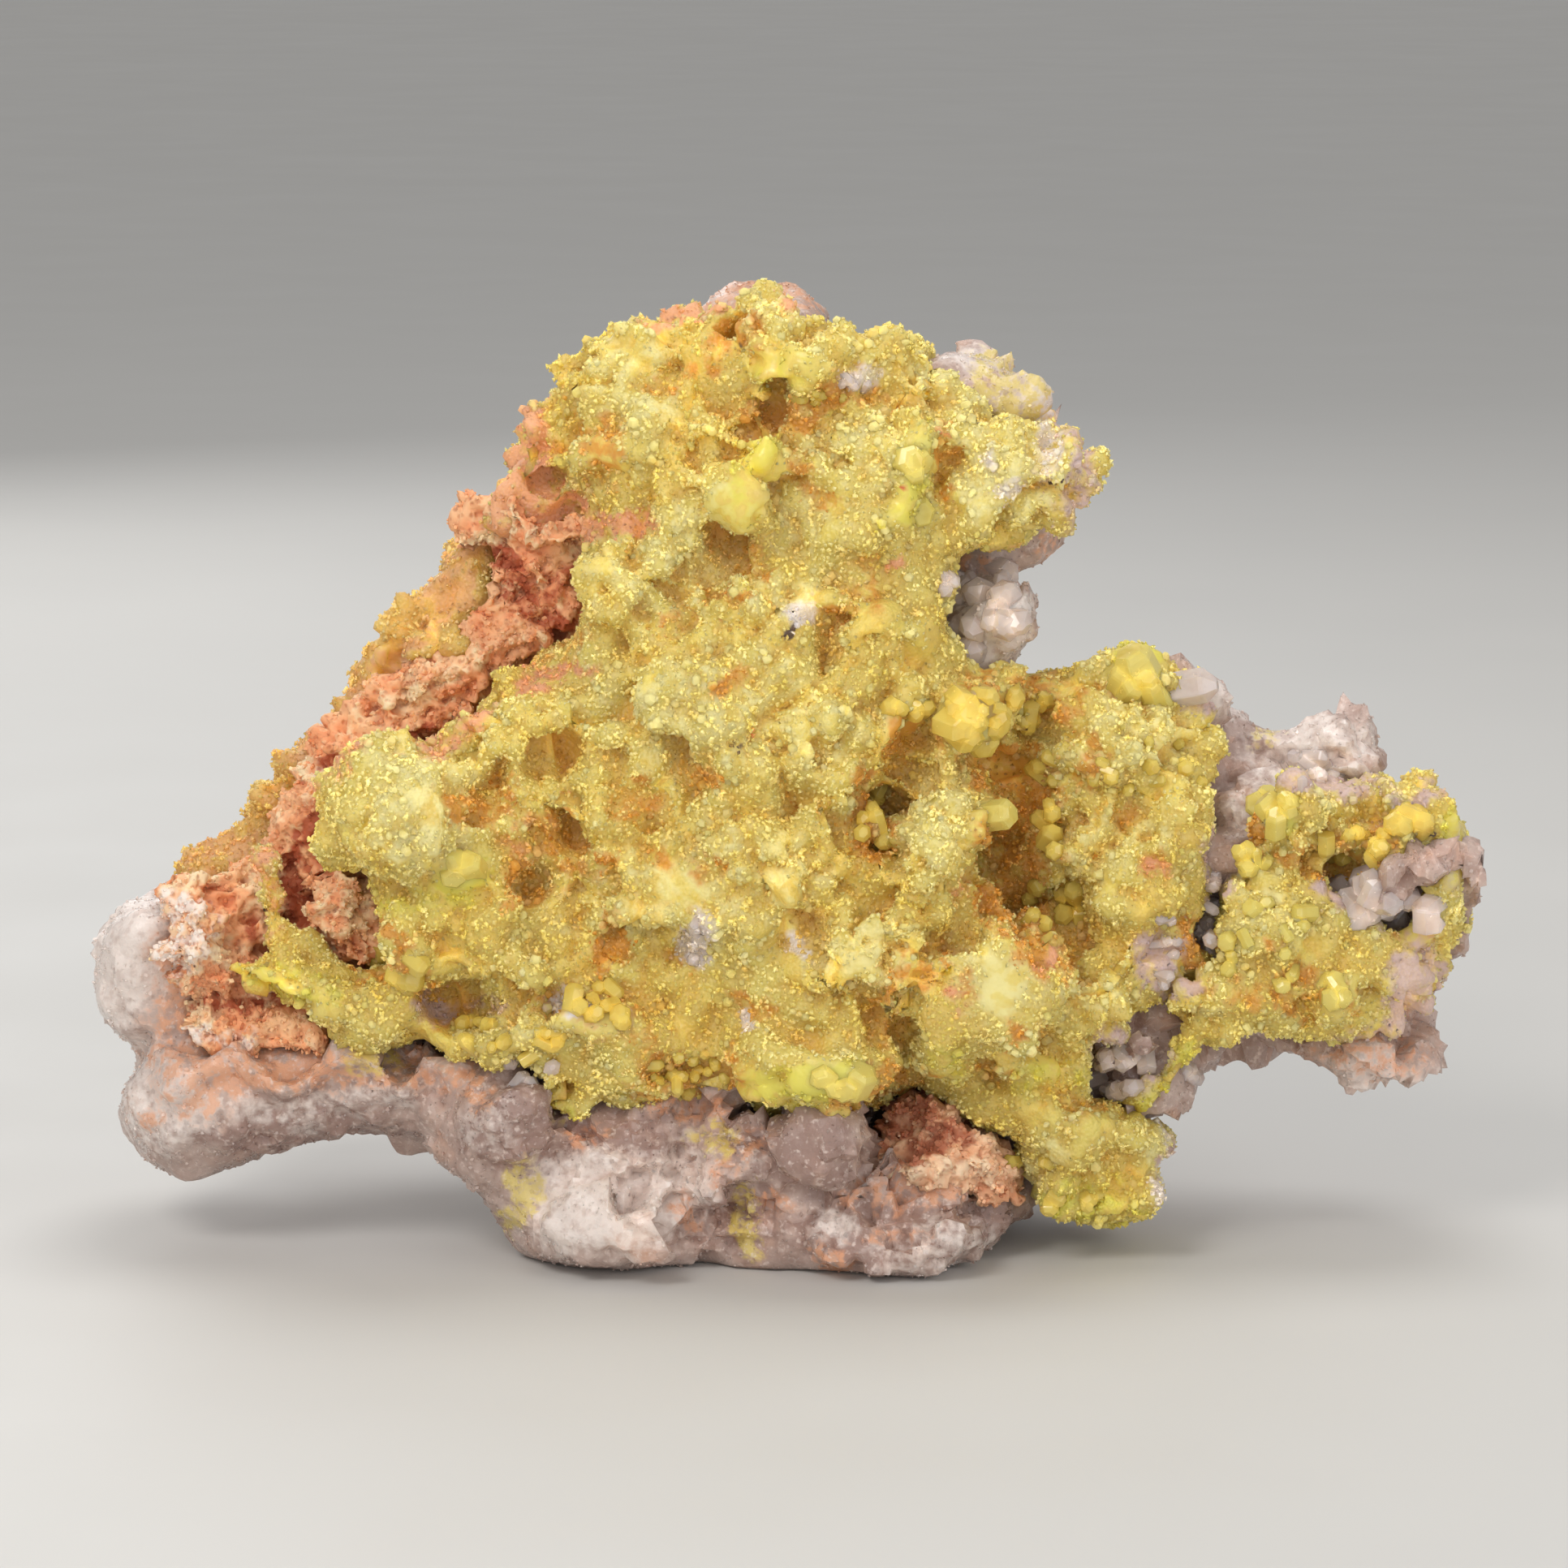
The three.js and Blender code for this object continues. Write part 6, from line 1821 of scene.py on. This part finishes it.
CALCITE_CRYSTALS = (
    Cluster(4.0, 52.0, 0.9, 0.4, 4, 0.4, 1.2, 0.4),
    Cluster(23.6, 34.4, 0.0, 0.0, 1, 1.1, 3.8, 0.0, 1.8, 0.4),
    Cluster(12.6, 38.6, 2.8, 2.6, 10, 0.9, 2.4, 0.4),
    Cluster(11.4, 40.2, 2.8, 1.2, 14, 0.5, 1.5, 0.5),
    Cluster(19.5, 12.2, 1.8, 1.6, 12, 0.55, 1.5, 0.5),
    Cluster(23.6, 12.0, 0.5, 0.7, 4, 0.5, 1.2, 0.3),
    Cluster(34.0, 22.2, 2.4, 1.2, 14, 0.9, 1.8, 0.6, sunk=0.7),
    Cluster(36.4, 21.6, 1.2, 1.4, 7, 0.8, 1.6, 0.6, sunk=0.7),
    Cluster(30.6, 29.6, 2.0, 0.8, 10, 0.5, 1.3, 0.5),
    Cluster(22.6, 19.4, 1.6, 2.4, 12, 0.45, 1.2, 0.5),
    Cluster(24.8, 21.2, 0.4, 2.4, 14, 0.5, 1.6, 0.5, sunk=0.3),
    Cluster(-14.8, 12.6, 1.4, 1.2, 6, 0.5, 1.2, 0.5),
    Cluster(-4.9, 19.6, 0.8, 1.2, 5, 0.4, 0.9, 0.5),
)

YELLOW_CRYSTALS = (
    Cluster(20.6, 35.2, 0.0, 0.0, 1, 1.3, 4.0, 0.0, -0.5, 0.9),
    Cluster(20.2, 34.2, 1.2, 0.8, 5, 0.7, 2.2, 0.4, 0.0, 0.6),
    Cluster(7.8, 46.6, 0.6, 2.6, 5, 0.9, 1.8, 0.3, sunk=0.8),
    Cluster(-18.6, 23.8, 0.9, 0.8, 3, 0.9, 1.4, 0.3, sunk=0.9),
    Cluster(12.3, 27.0, 0.0, 0.0, 1, 1.0, 2.6, 0.0, 1.0, 0.4),
    Cluster(3.2, 11.6, 1.8, 0.7, 5, 0.9, 1.6, 0.4, sunk=0.8),
    Cluster(28.4, 27.4, 1.3, 0.9, 6, 0.8, 1.8, 0.4, 0.0, 0.4),
    Cluster(27.0, 24.2, 0.7, 0.8, 6, 0.5, 1.6, 0.4, 0.0, 0.5),
    Cluster(31.8, 16.6, 1.0, 1.0, 4, 0.8, 1.4, 0.4, sunk=0.8),
    Cluster(28.0, 19.6, 2.8, 3.0, 12, 0.5, 1.4, 0.6),
)

HONEY_CRYSTALS = (
    Cluster(10.8, 32.2, 1.7, 1.7, 10, 1.1, 2.2, 0.5, sunk=0.75),
    Cluster(7.2, 33.6, 1.2, 1.0, 5, 0.6, 1.4, 0.5),
    Cluster(36.0, 27.0, 1.2, 1.2, 8, 0.7, 1.6, 0.5),
    Cluster(33.0, 25.4, 2.0, 1.4, 12, 0.5, 1.3, 0.5),
    Cluster(21.5, 29.8, 3.6, 2.6, 12, 0.5, 1.3, 0.5),
    Cluster(16.0, 22.0, 2.0, 2.4, 10, 0.6, 1.4, 0.45),
    Cluster(15.4, 27.5, 1.2, 3.0, 10, 0.6, 1.4, 0.45),
    Cluster(13.0, 33.6, 2.6, 1.4, 12, 0.6, 1.6, 0.5),
    Cluster(2.4, 50.9, 1.8, 0.6, 6, 0.35, 0.9, 0.3),
    Cluster(5.2, 26.5, 0.8, 2.4, 10, 0.5, 1.3, 0.5),
    Cluster(15.0, 5.6, 3.6, 2.4, 8, 0.5, 1.1, 0.4),
    Cluster(-6.0, 12.2, 2.8, 1.2, 16, 0.45, 1.2, 0.5),
    Cluster(-16.0, 14.2, 3.2, 1.2, 16, 0.45, 1.6, 0.5),
    Cluster(-10.6, 16.0, 2.2, 1.2, 10, 0.6, 1.4, 0.5),
    Cluster(-22.6, 18.0, 1.6, 1.2, 6, 0.7, 1.4, 0.5),
)


def main() -> None:
    """Builds the studio and the specimen, and logs how many triangles they have."""
    logging.basicConfig(level=logging.INFO, format="%(message)s")
    Studio().build()
    specimen = Specimen()
    pieces = specimen.build_bodies()
    specimen.build_crystals(pieces)
    total = sum(len(face.vertices) - 2 for piece in bpy.data.objects
                if piece.type == "MESH" and piece.name not in frame["nodes"] for face in piece.data.polygons)
    LOG.info("%d triangles in all", total)


if __name__ == "__main__":
    main()
